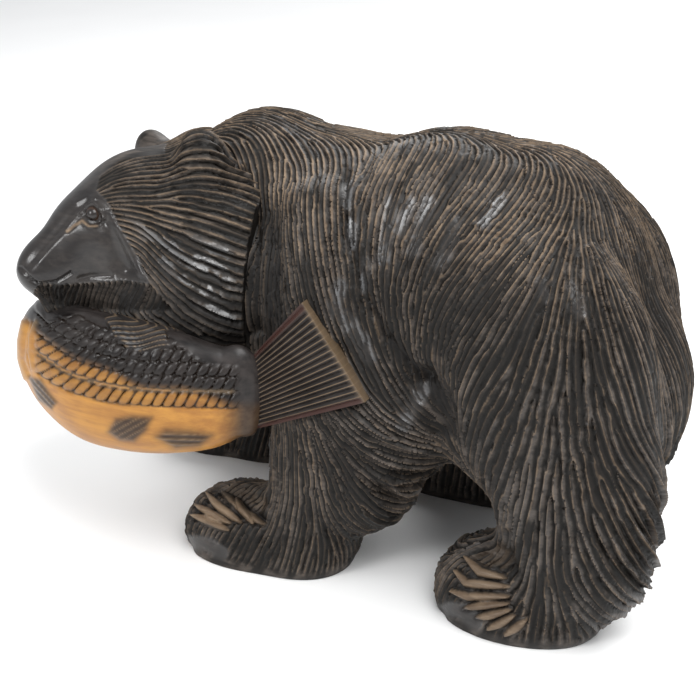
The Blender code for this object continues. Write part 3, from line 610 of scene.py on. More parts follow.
def mesh_arrays(mesh):
    """A mesh's points and normals, and the pairs of points that its edges join."""
    points = np.empty(len(mesh.vertices) * 3)
    normals = np.empty(len(mesh.vertices) * 3)
    edges = np.empty(len(mesh.edges) * 2, dtype=np.int64)
    mesh.vertices.foreach_get("co", points)
    mesh.vertices.foreach_get("normal", normals)
    mesh.edges.foreach_get("vertices", edges)
    return points.reshape(-1, 3), normals.reshape(-1, 3), edges.reshape(-1, 2)


def set_points(mesh, points):
    """Writes points back to a mesh."""
    mesh.vertices.foreach_set("co", np.ascontiguousarray(points, dtype=np.float32).ravel())
    mesh.update()


def note(mesh, name, values):
    """Keeps one value at each point of a mesh for its material."""
    layer = mesh.attributes.get(name) or mesh.attributes.new(name, "FLOAT", "POINT")
    layer.data.foreach_set("value", np.ascontiguousarray(values, dtype=np.float32))


def to_metres(points):
    """Grid points as metres in the row frame."""
    return (np.asarray(points, float) - FIGURE_CENTRE) * SQUARE


def to_grid(points):
    """Points in metres as grid points."""
    return np.asarray(points, float) / SQUARE + FIGURE_CENTRE


def unit(vectors):
    """Vectors at length one."""
    return vectors / np.maximum(np.linalg.norm(vectors, axis=-1), 1e-9)[..., None]


def smooth(low, high, values):
    """Zero up to the low value and one from the high value, with an easy slope between."""
    t = np.clip((values - low) / (high - low), 0, 1)
    return t * t * (3 - 2 * t)


def turned(degrees):
    """Rows are the axes of a mass that is turned about the upright axis."""
    angle = math.radians(degrees)
    across, ahead = math.sin(angle), math.cos(angle)
    return np.array([[ahead, across, 0], [-across, ahead, 0], [0, 0, 1]])


def head_frame():
    """The head's centre, and its forward, left and up axes as rows."""
    turn, dip, roll = (math.radians(v) for v in (HEAD_TURN, HEAD_DIP, HEAD_ROLL))
    forward = np.array([-math.cos(turn) * math.cos(dip), -math.sin(turn) * math.cos(dip), -math.sin(dip)])
    level_left = np.array([math.sin(turn), -math.cos(turn), 0.0])
    level_up = np.cross(forward, level_left)
    left = level_left * math.cos(roll) + level_up * math.sin(roll)
    high = level_up * math.cos(roll) - level_left * math.sin(roll)
    return np.array(HEAD_CENTRE), np.stack([forward, left, high])


def body_masses():
    """Every mass of the trunk and legs as name, centre, radii and axes on the grid."""
    return [(name, np.array(centre, float), np.array(radii, float), turned(turn))
            for name, centre, radii, turn in (*TRUNK, *LEGS, *PAWS)]


def head_masses():
    """Every mass of the head as name, centre, radii and axes on the grid."""
    origin, axes = head_frame()
    return [(name, origin + np.array(place, float) @ axes, np.array(radii, float), axes)
            for name, place, radii in (*HEAD, *COLLAR)]


def clay(points, solids, reach=MASS_REACH):
    """Distance to the melted masses, below zero inside, and the direction in which it grows."""
    total = np.zeros(len(points))
    slope = np.zeros((len(points), 3))
    for _, centre, radii, axes in solids:
        near = np.flatnonzero((np.abs(points - centre) < radii.max() + reach).all(axis=1))
        scaled = (points[near] - centre) @ axes.T / radii
        far = np.linalg.norm(scaled, axis=1)
        steep = scaled / radii
        size = np.maximum(np.linalg.norm(steep, axis=1), 1e-9)
        weight = np.exp(-np.clip(far * (far - 1) / size, -80, 400) / BLEND)
        total[near] += weight
        slope[near] += (weight / size)[:, None] * (steep @ axes)
    return -BLEND * np.log(total + 1e-300), unit(slope)


def settled(points, solids, rounds):
    """Points moved onto the melted masses."""
    for _ in range(rounds):
        gap, slope = clay(points, solids)
        points = points - slope * np.clip(gap, -SETTLING_STEP, SETTLING_STEP)[:, None]
    return points


def camera_frame():
    """Where the camera stands, and its right, up and back axes as rows, in metres."""
    stage = bpy.context.scene.carving_stage
    around, over = stage.azimuth, stage.elevation
    back = np.array([math.sin(around) * math.cos(over), -math.cos(around) * math.cos(over), math.sin(over)])
    right = np.array([math.cos(around), math.sin(around), 0.0])
    return np.array(stage.target) + back * stage.distance, np.stack([right, np.cross(back, right), back])


def on_template(points):
    """Grid points as the template shows them, right and down from its upper left corner."""
    eye, axes = camera_frame()
    seen = (to_metres(points) - eye) @ axes.T
    scale = TEMPLATE * bpy.context.scene.carving_stage.lens / SENSOR / -seen[:, 2]
    return np.stack([TEMPLATE / 2 + seen[:, 0] * scale, TEMPLATE / 2 - seen[:, 1] * scale], axis=1)


def pointed_at(solids, spot):
    """The grid point of the melted masses that shows at a spot of the template."""
    eye, axes = camera_frame()
    lens = TEMPLATE * bpy.context.scene.carving_stage.lens / SENSOR
    right, down = spot[0] - TEMPLATE / 2, spot[1] - TEMPLATE / 2
    ray = unit((right * axes[0] - down * axes[1]) / lens - axes[2])
    point = to_grid(eye)[None, :] + ray * RAY_START
    for _ in range(RAY_STEPS):
        point = point + ray * clay(point, solids, NEVER)[0][:, None] * RAY_CAUTION
    return point[0]


def body_twin(points, normals):
    """Right side points and normals as their twins on the left side."""
    right = points[:, 1] > 0
    twins, facing = points.copy(), normals.copy()
    twins[right, 1] *= -1
    facing[right, 1] *= -1
    legs = 1 - smooth(LEG_TOP, TRUNK_BOTTOM, points[right, 2])
    twins[right, 0] -= LEG_STRIDE * legs
    return twins, facing


def head_twin(points, normals):
    """Points and normals on the head's right side as their twins on its left side."""
    origin, axes = head_frame()
    local, facing = (points - origin) @ axes.T, normals @ axes.T
    right = local[:, 1] < 0
    local[right, 1] *= -1
    facing[right, 1] *= -1
    return origin + local @ axes, facing @ axes


def run_distance(spots, run):
    """Distance from spots to a run of straight stretches, and the share of the run where each is nearest."""
    run = np.array(run, float)
    best = np.full(len(spots), NEVER)
    share = np.zeros(len(spots))
    lengths = np.linalg.norm(np.diff(run, axis=0), axis=1)
    gone = 0.0
    for a, b, length in zip(run[:-1], run[1:], lengths):
        t = np.clip((spots - a) @ (b - a) / length**2, 0, 1)
        away = np.linalg.norm(spots - (a + t[:, None] * (b - a)), axis=1)
        nearer = away < best
        best = np.where(nearer, away, best)
        share = np.where(nearer, (gone + t * length) / lengths.sum(), share)
        gone += length
    return best, share


def bead(spots, run, width, power=2):
    """One along a run of the template and zero far from it. A higher power makes the slope steeper."""
    return np.exp(-((run_distance(spots, run)[0] / width) ** power))


def within(spots, outline):
    """How far inside an outline each spot lies, below zero outside it."""
    corners = np.array(outline, float)
    inside = np.zeros(len(spots), bool)
    for a, b in zip(corners, np.roll(corners, -1, axis=0)):
        crosses = (a[1] > spots[:, 1]) != (b[1] > spots[:, 1])
        rise = b[1] - a[1] if b[1] != a[1] else 1e-9
        inside ^= crosses & (spots[:, 0] < a[0] + (spots[:, 1] - a[1]) / rise * (b[0] - a[0]))
    away = run_distance(spots, [*outline, outline[0]])[0]
    return np.where(inside, away, -away)


def clay_skin(name, solids, cells):
    """One closed skin, on the grid, over all the masses, in finer and finer cells."""
    balls = []
    for _, centre, radii, axes in solids:
        deselect()
        bpy.ops.mesh.primitive_uv_sphere_add(
            segments=MASS_SEGMENTS, ring_count=MASS_RINGS, radius=1, location=centre,
            rotation=Matrix(axes.T).to_euler(), scale=radii)
        bpy.ops.object.transform_apply(location=True, rotation=True, scale=True)
        balls.append(bpy.context.object)
    for made in balls:
        made.select_set(True)
    bpy.context.view_layer.objects.active = balls[0]
    bpy.ops.object.join()
    skin = bpy.context.object
    skin.name = name
    skin.data.name = name
    for cell in cells:
        remesh = skin.modifiers.new("skin", "REMESH")
        remesh.mode = "VOXEL"
        remesh.voxel_size = cell
        apply_all(skin)
        set_points(skin.data, settled(mesh_arrays(skin.data)[0], solids, SETTLING_ROUNDS))
    return skin


def body_runs():
    """Every combed stroke of the trunk and legs, on both sides."""
    runs = []
    groups = ((BODY_STROKES, 0), (FORELEG_STROKES, FORE_STRIDE), (HINDLEG_STROKES, HIND_STRIDE))
    for strokes, stride in groups:
        for stroke in strokes:
            runs.append(stroke)
            runs.append(tuple((x + stride, -y, z) for x, y, z in stroke))
    return runs


def head_runs():
    """Every combed stroke of the head, on both sides."""
    origin, axes = head_frame()
    runs = list(HEAD_STROKES)
    for stroke in HEAD_STROKES:
        local = (np.array(stroke, float) - origin) @ axes.T
        local[:, 1] *= -1
        runs.append(tuple(origin + local @ axes))
    return runs


def hair_flow(points, normals, runs, reach):
    """The hair's direction at each point: the nearby strokes' directions, laid into the surface."""
    flow = np.repeat(np.array([LAZY_FLOW]) * LAZY_PULL, len(points), axis=0)
    starts = np.array([p for run in runs for p in run[:-1]], float)
    ends = np.array([p for run in runs for p in run[1:]], float)
    for a, b in zip(starts, ends):
        low, high = np.minimum(a, b) - STROKE_END * reach, np.maximum(a, b) + STROKE_END * reach
        near = np.flatnonzero(((points > low) & (points < high)).all(axis=1))
        share = np.clip((points[near] - a) @ (b - a) / ((b - a) @ (b - a)), 0, 1)
        away = points[near] - (a + share[:, None] * (b - a))
        weight = np.exp(-(away * away).sum(axis=1) / (2 * reach**2))
        flow[near] += weight[:, None] * unit(b - a)
    flow -= normals * (flow * normals).sum(axis=1)[:, None]
    return unit(flow)


def cell_keys(points, cell, low):
    """One whole number for the cell that each point lies in."""
    keys = np.floor((points - low) / cell).astype(np.int64) + 2
    return (keys[:, 0] * 4096 + keys[:, 1]) * 4096 + keys[:, 2]


def gathered(points, values, cell):
    """Points and values averaged in cells, with each point's cell."""
    owners = np.unique(cell_keys(points, cell, points.min(axis=0)), return_inverse=True)[1]
    counts = np.bincount(owners)
    means = [np.bincount(owners, weights=column) / counts for column in np.hstack([points, values]).T]
    means = np.array(means).T
    return means[:, :3], means[:, 3:], owners


def combed_wave(points, edges, across, along, wave, rounds):
    """Settles a wave whose crests run with the hair: each point takes its neighbours' phase."""
    a, b = edges.T
    step = points[b] - points[a]
    gain = ((across[a] + across[b]) * 0.5 * step).sum(axis=1)
    heading = unit(along[a] + along[b])
    weight = 0.25 + (unit(step) * heading).sum(axis=1) ** 2
    turn = np.exp(1j * gain) * weight
    count = len(points)
    for _ in range(rounds):
        ahead = wave[a] * turn
        behind = wave[b] * turn.conj()
        real = np.bincount(b, ahead.real, count) + np.bincount(a, behind.real, count)
        imag = np.bincount(b, ahead.imag, count) + np.bincount(a, behind.imag, count)
        total = real + 1j * imag
        wave = total / np.maximum(np.abs(total), 1e-9)
    return wave


def lock_phase(points, normals, edges, flow, pitch, cells, seed):
    """Phase of the locks at each point, from -pi to pi, with a ridge at both ends and a channel at zero."""
    across = np.cross(normals, flow) * (2 * math.pi / pitch)[:, None]
    rng = np.random.default_rng(seed)
    wave = None
    for cell in cells:
        coarse, values, owners = gathered(points, np.hstack([across, flow]), cell)
        pairs = np.sort(owners[edges], axis=1)
        pairs = pairs[pairs[:, 0] != pairs[:, 1]]
        codes = np.unique(pairs[:, 0] * len(coarse) + pairs[:, 1])
        pairs = np.stack([codes // len(coarse), codes % len(coarse)], axis=1)
        if wave is None:
            start = np.exp(2j * math.pi * rng.random(len(coarse)))
        else:
            spread = wave * np.exp(1j * ((coarse[owners] - points) * across).sum(axis=1))
            start = np.bincount(owners, spread.real) + 1j * np.bincount(owners, spread.imag)
            start /= np.maximum(np.abs(start), 1e-9)
        start = combed_wave(coarse, pairs, values[:, :3], values[:, 3:], start, ROUGH_ROUNDS)
        wave = start[owners] * np.exp(1j * ((points - coarse[owners]) * across).sum(axis=1))
    return np.angle(combed_wave(points, edges, across, flow, wave, LAST_ROUNDS))


def evened(values, edges, rounds):
    """Values averaged with their neighbours' along the edges."""
    a, b = edges.T
    count = len(values)
    joined = np.bincount(a, minlength=count) + np.bincount(b, minlength=count) + 1.0
    for _ in range(rounds):
        values = (values + np.bincount(b, values[a], count) + np.bincount(a, values[b], count)) / joined
    return values


def streaks(points, flow, grain, length, seed):
    """Noise that is drawn out along the hair: an average of random cells met on the way ahead and back."""
    step = length / (2 * STREAK_STEPS)
    low = points.min(axis=0) - 40
    coarse, values = gathered(points, flow, STREAK_CELL)[:2]
    keys = cell_keys(coarse, STREAK_CELL, low)
    order = np.argsort(keys)
    keys, headings = keys[order], unit(values)[order]
    total = np.zeros(len(points))
    for sense in (1, -1):
        place, heading = points.copy(), flow * sense
        for _ in range(STREAK_STEPS):
            place = place + heading * step
            here = cell_keys(place, STREAK_CELL, low)
            found = np.clip(np.searchsorted(keys, here), 0, len(keys) - 1)
            known = keys[found] == here
            heading = np.where(known[:, None], headings[found] * sense, heading)
            code = cell_keys(place, grain, low).astype(np.uint64) * np.uint64(2654435761) + np.uint64(seed)
            code ^= code >> np.uint64(15)
            code *= np.uint64(2246822519)
            code ^= code >> np.uint64(13)
            total += (code % np.uint64(1024)).astype(float) / 1024 - 0.5
    return total


def thinned(obj, triangles):
    """Fewer triangles on an object, with the ridges kept."""
    triangulate = obj.modifiers.new("triangles", "TRIANGULATE")
    triangulate.quad_method = "BEAUTY"
    apply_all(obj)
    decimate = obj.modifiers.new("thin", "DECIMATE")
    decimate.ratio = min(1.0, triangles / len(obj.data.polygons))
    apply_all(obj)


def boxed(obj):
    """Turns an object's grid points into metres and keeps them inside the CAD solid's box."""
    points = to_metres(mesh_arrays(obj.data)[0])
    set_points(obj.data, np.clip(points, np.array(CAD_LOW), np.array(CAD_HIGH)))


def cut_off(obj, place, normal):
    """Cuts away what lies behind a plane and closes the cut."""
    take(obj)
    bpy.ops.object.mode_set(mode="EDIT")
    bpy.ops.mesh.select_all(action="SELECT")
    bpy.ops.mesh.bisect(plane_co=place, plane_no=normal, use_fill=True, clear_inner=True)
    bpy.ops.mesh.select_all(action="SELECT")
    bpy.ops.mesh.quads_convert_to_tris()
    bpy.ops.object.mode_set(mode="OBJECT")


def twin_of(obj, normal, sense):
    """A copy of an object that keeps only what lies on one side of the parting."""
    deselect()
    copy = obj.copy()
    copy.data = obj.data.copy()
    bpy.context.collection.objects.link(copy)
    cut_off(copy, PARTING, Vector(normal) * sense)
    return copy


def finish_piece(obj, material):
    """Shades a piece, gives it its material and ties it to the frame."""
    take(obj)
    bpy.ops.object.shade_smooth_by_angle(angle=math.radians(CREASE))
    obj.data.materials.clear()
    obj.data.materials.append(material)
    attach(obj, "root")
    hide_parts(NODE)


def lock_profile(phase, lean):
    """Height of a lock, 0 in its channel and 1 on its ridge, with one gentle and one steep side."""
    t = (math.pi - phase) / (2 * math.pi)
    return np.where(t < lean, 1 - np.sin(0.5 * math.pi * t / lean), ((t - lean) / (1 - lean)) ** 2)


def gouge(skin, runs, twin, cells, seed, extra):
    """Cuts hair into a clay skin along the strokes, with the plan that extra() makes of the template."""
    coat = bpy.context.scene.carving_coat
    pitch, depth = coat.pitch / SQUARE, coat.depth / SQUARE
    points, normals, edges = mesh_arrays(skin.data)
    flow = hair_flow(points, normals, runs, STROKE_REACH)
    twins, facing = twin(points, normals)
    spots = on_template(twins)
    toward = smooth(*FACING, facing @ camera_frame()[1][2])
    plan = extra(points, normals, flow, twins, spots, toward)
    flow = plan.get("flow", flow)
    pitches = pitch * plan["pitch"]
    phase = lock_phase(points, normals, edges, flow, pitches, cells, seed)
    tuft = lock_phase(points, normals, edges, flow, np.full(len(points), TUFT_PITCH), TUFT_LADDER, seed + 2)
    strand = evened(streaks(points, flow, *STRAND_STREAKS[:2], seed), edges, STRAND_STREAKS[2])
    fine = evened(streaks(points, flow, *FINE_STREAKS[:2], seed + 1), edges, FINE_STREAKS[2])
    tier = evened(streaks(points, flow, TIER_WIDTH, TIER_LENGTH, seed + 3), edges, TIER_ROUNDS)
    phase = np.angle(np.exp(1j * (phase + WAVER * np.tanh(3 * tier))))
    side = np.cross(normals, flow)
    levels = np.maximum(2 * np.round(pitches / (2 * cells[-1] * SNAP_WIDTH)), 4)
    snap = np.round(phase / (2 * math.pi / levels)) * (2 * math.pi / levels) - phase
    hair = plan["hair"]
    points = points + side * (SNAP * snap * hair * pitches / (2 * math.pi))[:, None]
    phase = phase + SNAP * snap * hair
    ridge = lock_profile(phase, LEAN)
    ridge += plan["full"] * (1 - (1 - ridge) ** 3 - ridge)
    deep = depth * plan["depth"] * hair * np.clip(1 + STRAND_DEPTH * strand, *DEPTH_LIMITS)
    height = deep * (ridge - LOCK_LEVEL) + FINE_RELIEF * fine * hair + plan["height"]
    height += plan["tuft"] * hair * ((tuft / math.pi) ** 2 - TUFT_LEVEL)
    height += plan["tier"] * hair * (smooth(*TIER_STEP, tier) - 0.5)
    set_points(skin.data, points + normals * height[:, None])
    note(skin.data, "crest", ridge)
    note(skin.data, "hair", hair)
    note(skin.data, "streak", fine)
    note(skin.data, "strand", strand)
    # Painted glint: on the hair, the gloss and its painted highlight stay only on the upper faces of the
    # locks along strong strands.
    lit = smooth(*GLINT_RIDGE, ridge) * smooth(*GLINT_STRAND, strand)
    note(skin.data, "sheen", plan["sheen"] * (1 - hair * (1 - lit)))
    for name in ("tan", "worn", "dark"):
        note(skin.data, name, plan[name])


def body_plan(points, normals, flow, twins, spots, toward):
    """Pitch, depth and forms of the body's gouge work at each point."""
    x, z = twins[:, 0], twins[:, 2]
    regions = {name: smooth(*ahead, x) * smooth(*high, z) for name, ahead, high in REGIONS}
    regions["low_rump"] = regions["rump"] * (1 - regions["above"])
    hair = smooth(*SOLE_EDGE, points[:, 2])
    height = np.zeros(len(points))
    tan = np.zeros(len(points))
    dark = np.zeros(len(points))
    for _, run, width, deep in BODY_CUTS:
        groove = toward * bead(spots, run, width)
        height -= deep * groove
        # Painted shade: the cut is darkened as well as sunk.
        dark = np.maximum(dark, groove)
    glint_facet = np.zeros(len(points))
    for _, run, width in GLINT_FACETS:
        glint_facet = np.maximum(glint_facet, toward * bead(spots, run, width, 4))
    fringe = sum(np.exp(-(((x - back) / wide) ** 2)) * np.exp(-(((z - high) / tall) ** 2))
                 for _, back, wide, high, tall in FRINGES)
    regions["fringe"] = np.clip(fringe, 0, 1)
    clawed = np.zeros(len(points))
    for run in CLAWS:
        away, share = run_distance(spots, run)
        width = CLAW_WIDTH * np.sin(math.pi * np.clip(share * 0.9 + 0.06, 0, 1)) ** 0.6 + 0.3
        over = np.clip(1 - (away / width) ** 2, 0, 1)
        groove = np.exp(-(((away - CLAW_GROOVE_PLACE * width) / CLAW_GROOVE_WIDTH) ** 2))
        height += toward * (CLAW_HEIGHT * over - CLAW_GROOVE * groove)
        clawed = np.maximum(clawed, toward * smooth(1.9, 1.2, away / width))
        tan = np.maximum(tan, toward * smooth(0.0, 0.5, over))
    scooped = np.zeros(len(points))
    for _, run, width, deep in SCOOPS:
        bowl = toward * bead(spots, run, width, 4)
        height -= deep * bowl
        scooped = np.maximum(scooped, bowl)
    for _, run, width, deep in HOLLOWS:
        bowl = toward * bead(spots, run, width, 4) * (1 - clawed)
        height -= deep * bowl
        tan = np.maximum(tan, HOLLOW_TAN * bowl)
    hair *= (1 - 0.25 * glint_facet) * (1 - clawed) * (1 - scooped)
    plan = {name: base + sum(share * regions[region] for region, share in shares)
            for name, base, shares in BODY_PLAN}
    # Gloss on the facets, thigh and scoops; where hair remains it also gets a painted glint.
    sheen = np.clip(THIGH_GLOSS_AND_GLINT * regions["thigh"] + glint_facet + scooped, 0, 1)
    plan.update(dark=dark, hair=hair, height=height, tan=tan, sheen=sheen)
    return plan


def head_plan(points, normals, flow, twins, spots, toward):
    """Pitch, depth and forms of the head's gouge work at each point."""
    origin, axes = head_frame()
    forward = (twins - origin) @ axes[0]
    bare = smooth(-1.5, 1.5, within(spots, FACE)) * smooth(-40, -20, forward)
    far_ear = np.linalg.norm((points - origin) @ axes.T - np.array(FAR_EAR), axis=1)
    bare = np.maximum(bare, smooth(25, 19, far_ear))
    fringe = smooth(-1, 3, within(spots, LIP_FRINGE))
    height = np.zeros(len(points))
    tan = np.zeros(len(points))
    for run, width in EYE_WHITES:
        tan = np.maximum(tan, toward * bead(spots, run, width, 4))
    for _, run, width, deep in HEAD_CUTS:
        height -= toward * deep * bead(spots, run, width)
    for _, run, width, tall in HEAD_RIDGES:
        height += toward * tall * bead(spots, run, width)
    camera = camera_frame()[1]
    hanging = FRINGE_COMB[0] * camera[0] - FRINGE_COMB[1] * camera[1]
    hanging = unit(hanging - normals * (normals @ hanging)[:, None])
    away = smooth(*RUFF_AT, spots[:, 0])
    polished = bare * (1 - tan) * smooth(*SHEEN_AT, spots[:, 1] + 0.2 * spots[:, 0])
    # The lower ruff: gloss with a painted glint.
    ruff = RUFF_GLOSS_AND_GLINT * smooth(0, 14, within(spots, RUFF_GLOSS_AND_GLINT_OUTLINE))
    fringe = fringe * (1 - bare)
    return {
        "flow": unit(flow + 3 * fringe[:, None] * (hanging - flow)),
        "pitch": 0.85 + 0.75 * away,
        "full": 0.75 - 0.25 * away - 0.6 * fringe,
        "worn": (0.85 - 0.5 * smooth(*WEAR_FADES, spots[:, 1])) * (1 - 0.7 * fringe),
        # Painted shade round the throat; the lip's fringe is darkened with it too.
        "dark": 0.5 * fringe + 0.8 * smooth(*THROAT_REACH, np.linalg.norm(spots - THROAT, axis=1)),
        "depth": 0.75 + 1.0 * away + 0.5 * fringe,
        "hair": 1 - bare,
        "height": height,
        "sheen": np.maximum(polished, ruff),
        "tan": tan,
        "tuft": np.zeros(len(points)),
        "tier": 0.5 * away,
    }


def add_node(tree, kind, **values):
    """A node of a kind, with its properties and, by socket name, its inputs set."""
    made = tree.nodes.new(kind)
    for key, value in values.items():
        if hasattr(made, key):
            setattr(made, key, value)
        else:
            made.inputs[key.replace("_", " ")].default_value = value
    return made


def feed(tree, socket, value):
    """Links a socket to another one, or gives it a plain value."""
    if isinstance(value, bpy.types.NodeSocket):
        tree.links.new(value, socket)
    else:
        socket.default_value = value


def mixed(tree, factor, first, second):
    """Colour mix of two sockets or colours."""
    made = tree.nodes.new("ShaderNodeMix")
    made.data_type = "RGBA"
    for place, value in ((0, factor), (6, first), (7, second)):
        feed(tree, made.inputs[place], value)
    return made.outputs[2]


def computed(tree, operation, *values, clamp=False):
    """A number worked out from sockets or numbers."""
    made = tree.nodes.new("ShaderNodeMath")
    made.operation = operation
    made.use_clamp = clamp
    for socket, value in zip(made.inputs, values):
        feed(tree, socket, value)
    return made.outputs[0]


def product(tree, *values):
    """The product of sockets or numbers."""
    total = values[0]
    for value in values[1:]:
        total = computed(tree, "MULTIPLY", total, value)
    return total


def ranged(tree, value, low, high, start=0.0, end=1.0):
    """A socket's value, mapped smoothly from one range to another."""
    made = add_node(tree, "ShaderNodeMapRange", interpolation_type="SMOOTHSTEP")
    names = ("Value", "From Min", "From Max", "To Min", "To Max")
    for name, given in zip(names, (value, low, high, start, end)):
        feed(tree, made.inputs[name], given)
    return made.outputs[0]


def noted(tree, name):
    """The value that note() kept under a name."""
    return add_node(tree, "ShaderNodeAttribute", attribute_name=name).outputs["Fac"]


def noise(tree, place, scale, detail=3.0, rough=0.55):
    """Soft noise over the object."""
    made = add_node(tree, "ShaderNodeTexNoise", Scale=scale, Detail=detail, Roughness=rough)
    tree.links.new(place, made.inputs["Vector"])
    return made.outputs[0]


def new_group(name, inputs, outputs):
    """An empty shader group with named inputs and outputs, and its two end nodes."""
    group = bpy.data.node_groups.new(name, "ShaderNodeTree")
    for title, kind, value in inputs:
        socket = group.interface.new_socket(title, in_out="INPUT", socket_type=kind)
        if value is not None:
            socket.default_value = value
    for title, kind in outputs:
        group.interface.new_socket(title, in_out="OUTPUT", socket_type=kind)
    return group, group.nodes.new("NodeGroupInput"), group.nodes.new("NodeGroupOutput")


def edge_wear():
    """Group: where the stain is rubbed off the ridges."""
    if "edge_wear" in bpy.data.node_groups:
        return bpy.data.node_groups["edge_wear"]
    group, start, end = new_group(
        "edge_wear",
        (("Place", "NodeSocketVector", None), ("Crest", "NodeSocketFloat", 0.0),
         ("Streak", "NodeSocketFloat", 0.0), ("Start", "NodeSocketFloat", 0.6),
         ("Finish", "NodeSocketFloat", 0.95)),
        (("Wear", "NodeSocketFloat"),))
    place = start.outputs["Place"]
    broad = noise(group, place, 16.0, 2.0)
    small = noise(group, place, 420.0, 2.0)
    grit = computed(group, "SUBTRACT", small, 0.5)
    shifted = computed(group, "MULTIPLY_ADD", grit, 0.35, start.outputs["Crest"])
    shifted = computed(group, "MULTIPLY_ADD", start.outputs["Streak"], 0.10, shifted)
    wear = ranged(group, shifted, start.outputs["Start"], start.outputs["Finish"])
    patch = ranged(group, broad, 0.30, 0.62, 0.55, 1.0)
    group.links.new(product(group, wear, patch), end.inputs["Wear"])
    return group


def wood_fibre():
    """Group: grain lines, pores and uneven stain of the wood."""
    if "wood_fibre" in bpy.data.node_groups:
        return bpy.data.node_groups["wood_fibre"]
    group, start, end = new_group(
        "wood_fibre", (("Place", "NodeSocketVector", None), ("Scale", "NodeSocketFloat", 1.0)),
        (("Tone", "NodeSocketFloat"), ("Height", "NodeSocketFloat")))
    stretch = add_node(group, "ShaderNodeMapping", vector_type="POINT")
    stretch.inputs["Scale"].default_value = (0.10, 1.0, 1.0)
    group.links.new(start.outputs["Place"], stretch.inputs["Vector"])
    grown = group.nodes.new("ShaderNodeVectorMath")
    grown.operation = "SCALE"
    group.links.new(stretch.outputs[0], grown.inputs[0])
    group.links.new(start.outputs["Scale"], grown.inputs["Scale"])
    lines = noise(group, grown.outputs[0], 300.0, 4.0, 0.6)
    cloud = noise(group, start.outputs["Place"], 38.0, 3.0, 0.5)
    tone = computed(group, "MULTIPLY_ADD", lines, 0.55, product(group, cloud, 0.45))
    group.links.new(ranged(group, tone, 0.32, 0.68), end.inputs["Tone"])
    group.links.new(lines, end.inputs["Height"])
    return group


def settled_dust():
    """Group: pale dust that lies in what faces up."""
    if "settled_dust" in bpy.data.node_groups:
        return bpy.data.node_groups["settled_dust"]
    group, start, end = new_group(
        "settled_dust", (("Place", "NodeSocketVector", None), ("Amount", "NodeSocketFloat", 0.2)),
        (("Dust", "NodeSocketFloat"),))
    normal = group.nodes.new("ShaderNodeNewGeometry")
    split = group.nodes.new("ShaderNodeSeparateXYZ")
    group.links.new(normal.outputs["Normal"], split.inputs[0])
    up = ranged(group, split.outputs["Z"], 0.1, 0.95)
    cloud = ranged(group, noise(group, start.outputs["Place"], 90.0, 4.0), 0.35, 0.7)
    group.links.new(product(group, up, cloud, start.outputs["Amount"]), end.inputs["Dust"])
    return group


def grouped(tree, group, **sockets):
    """A group placed in a material with its own values."""
    made = tree.nodes.new("ShaderNodeGroup")
    made.node_tree = group
    for name, value in sockets.items():
        feed(tree, made.inputs[name], value)
    return made.outputs


def new_material(name):
    """A material, its tree, its Principled shader and the object's own coordinates."""
    material = bpy.data.materials.new(name)
    material.use_nodes = True
    tree = material.node_tree
    place = tree.nodes.new("ShaderNodeTexCoord").outputs["Object"]
    return material, tree, tree.nodes["Principled BSDF"], place


def bumped(tree, shader, height, strength, distance):
    """Fine relief on a shader."""
    bump = add_node(tree, "ShaderNodeBump", Strength=strength, Distance=distance)
    tree.links.new(height, bump.inputs["Height"])
    tree.links.new(bump.outputs[0], shader.inputs["Normal"])


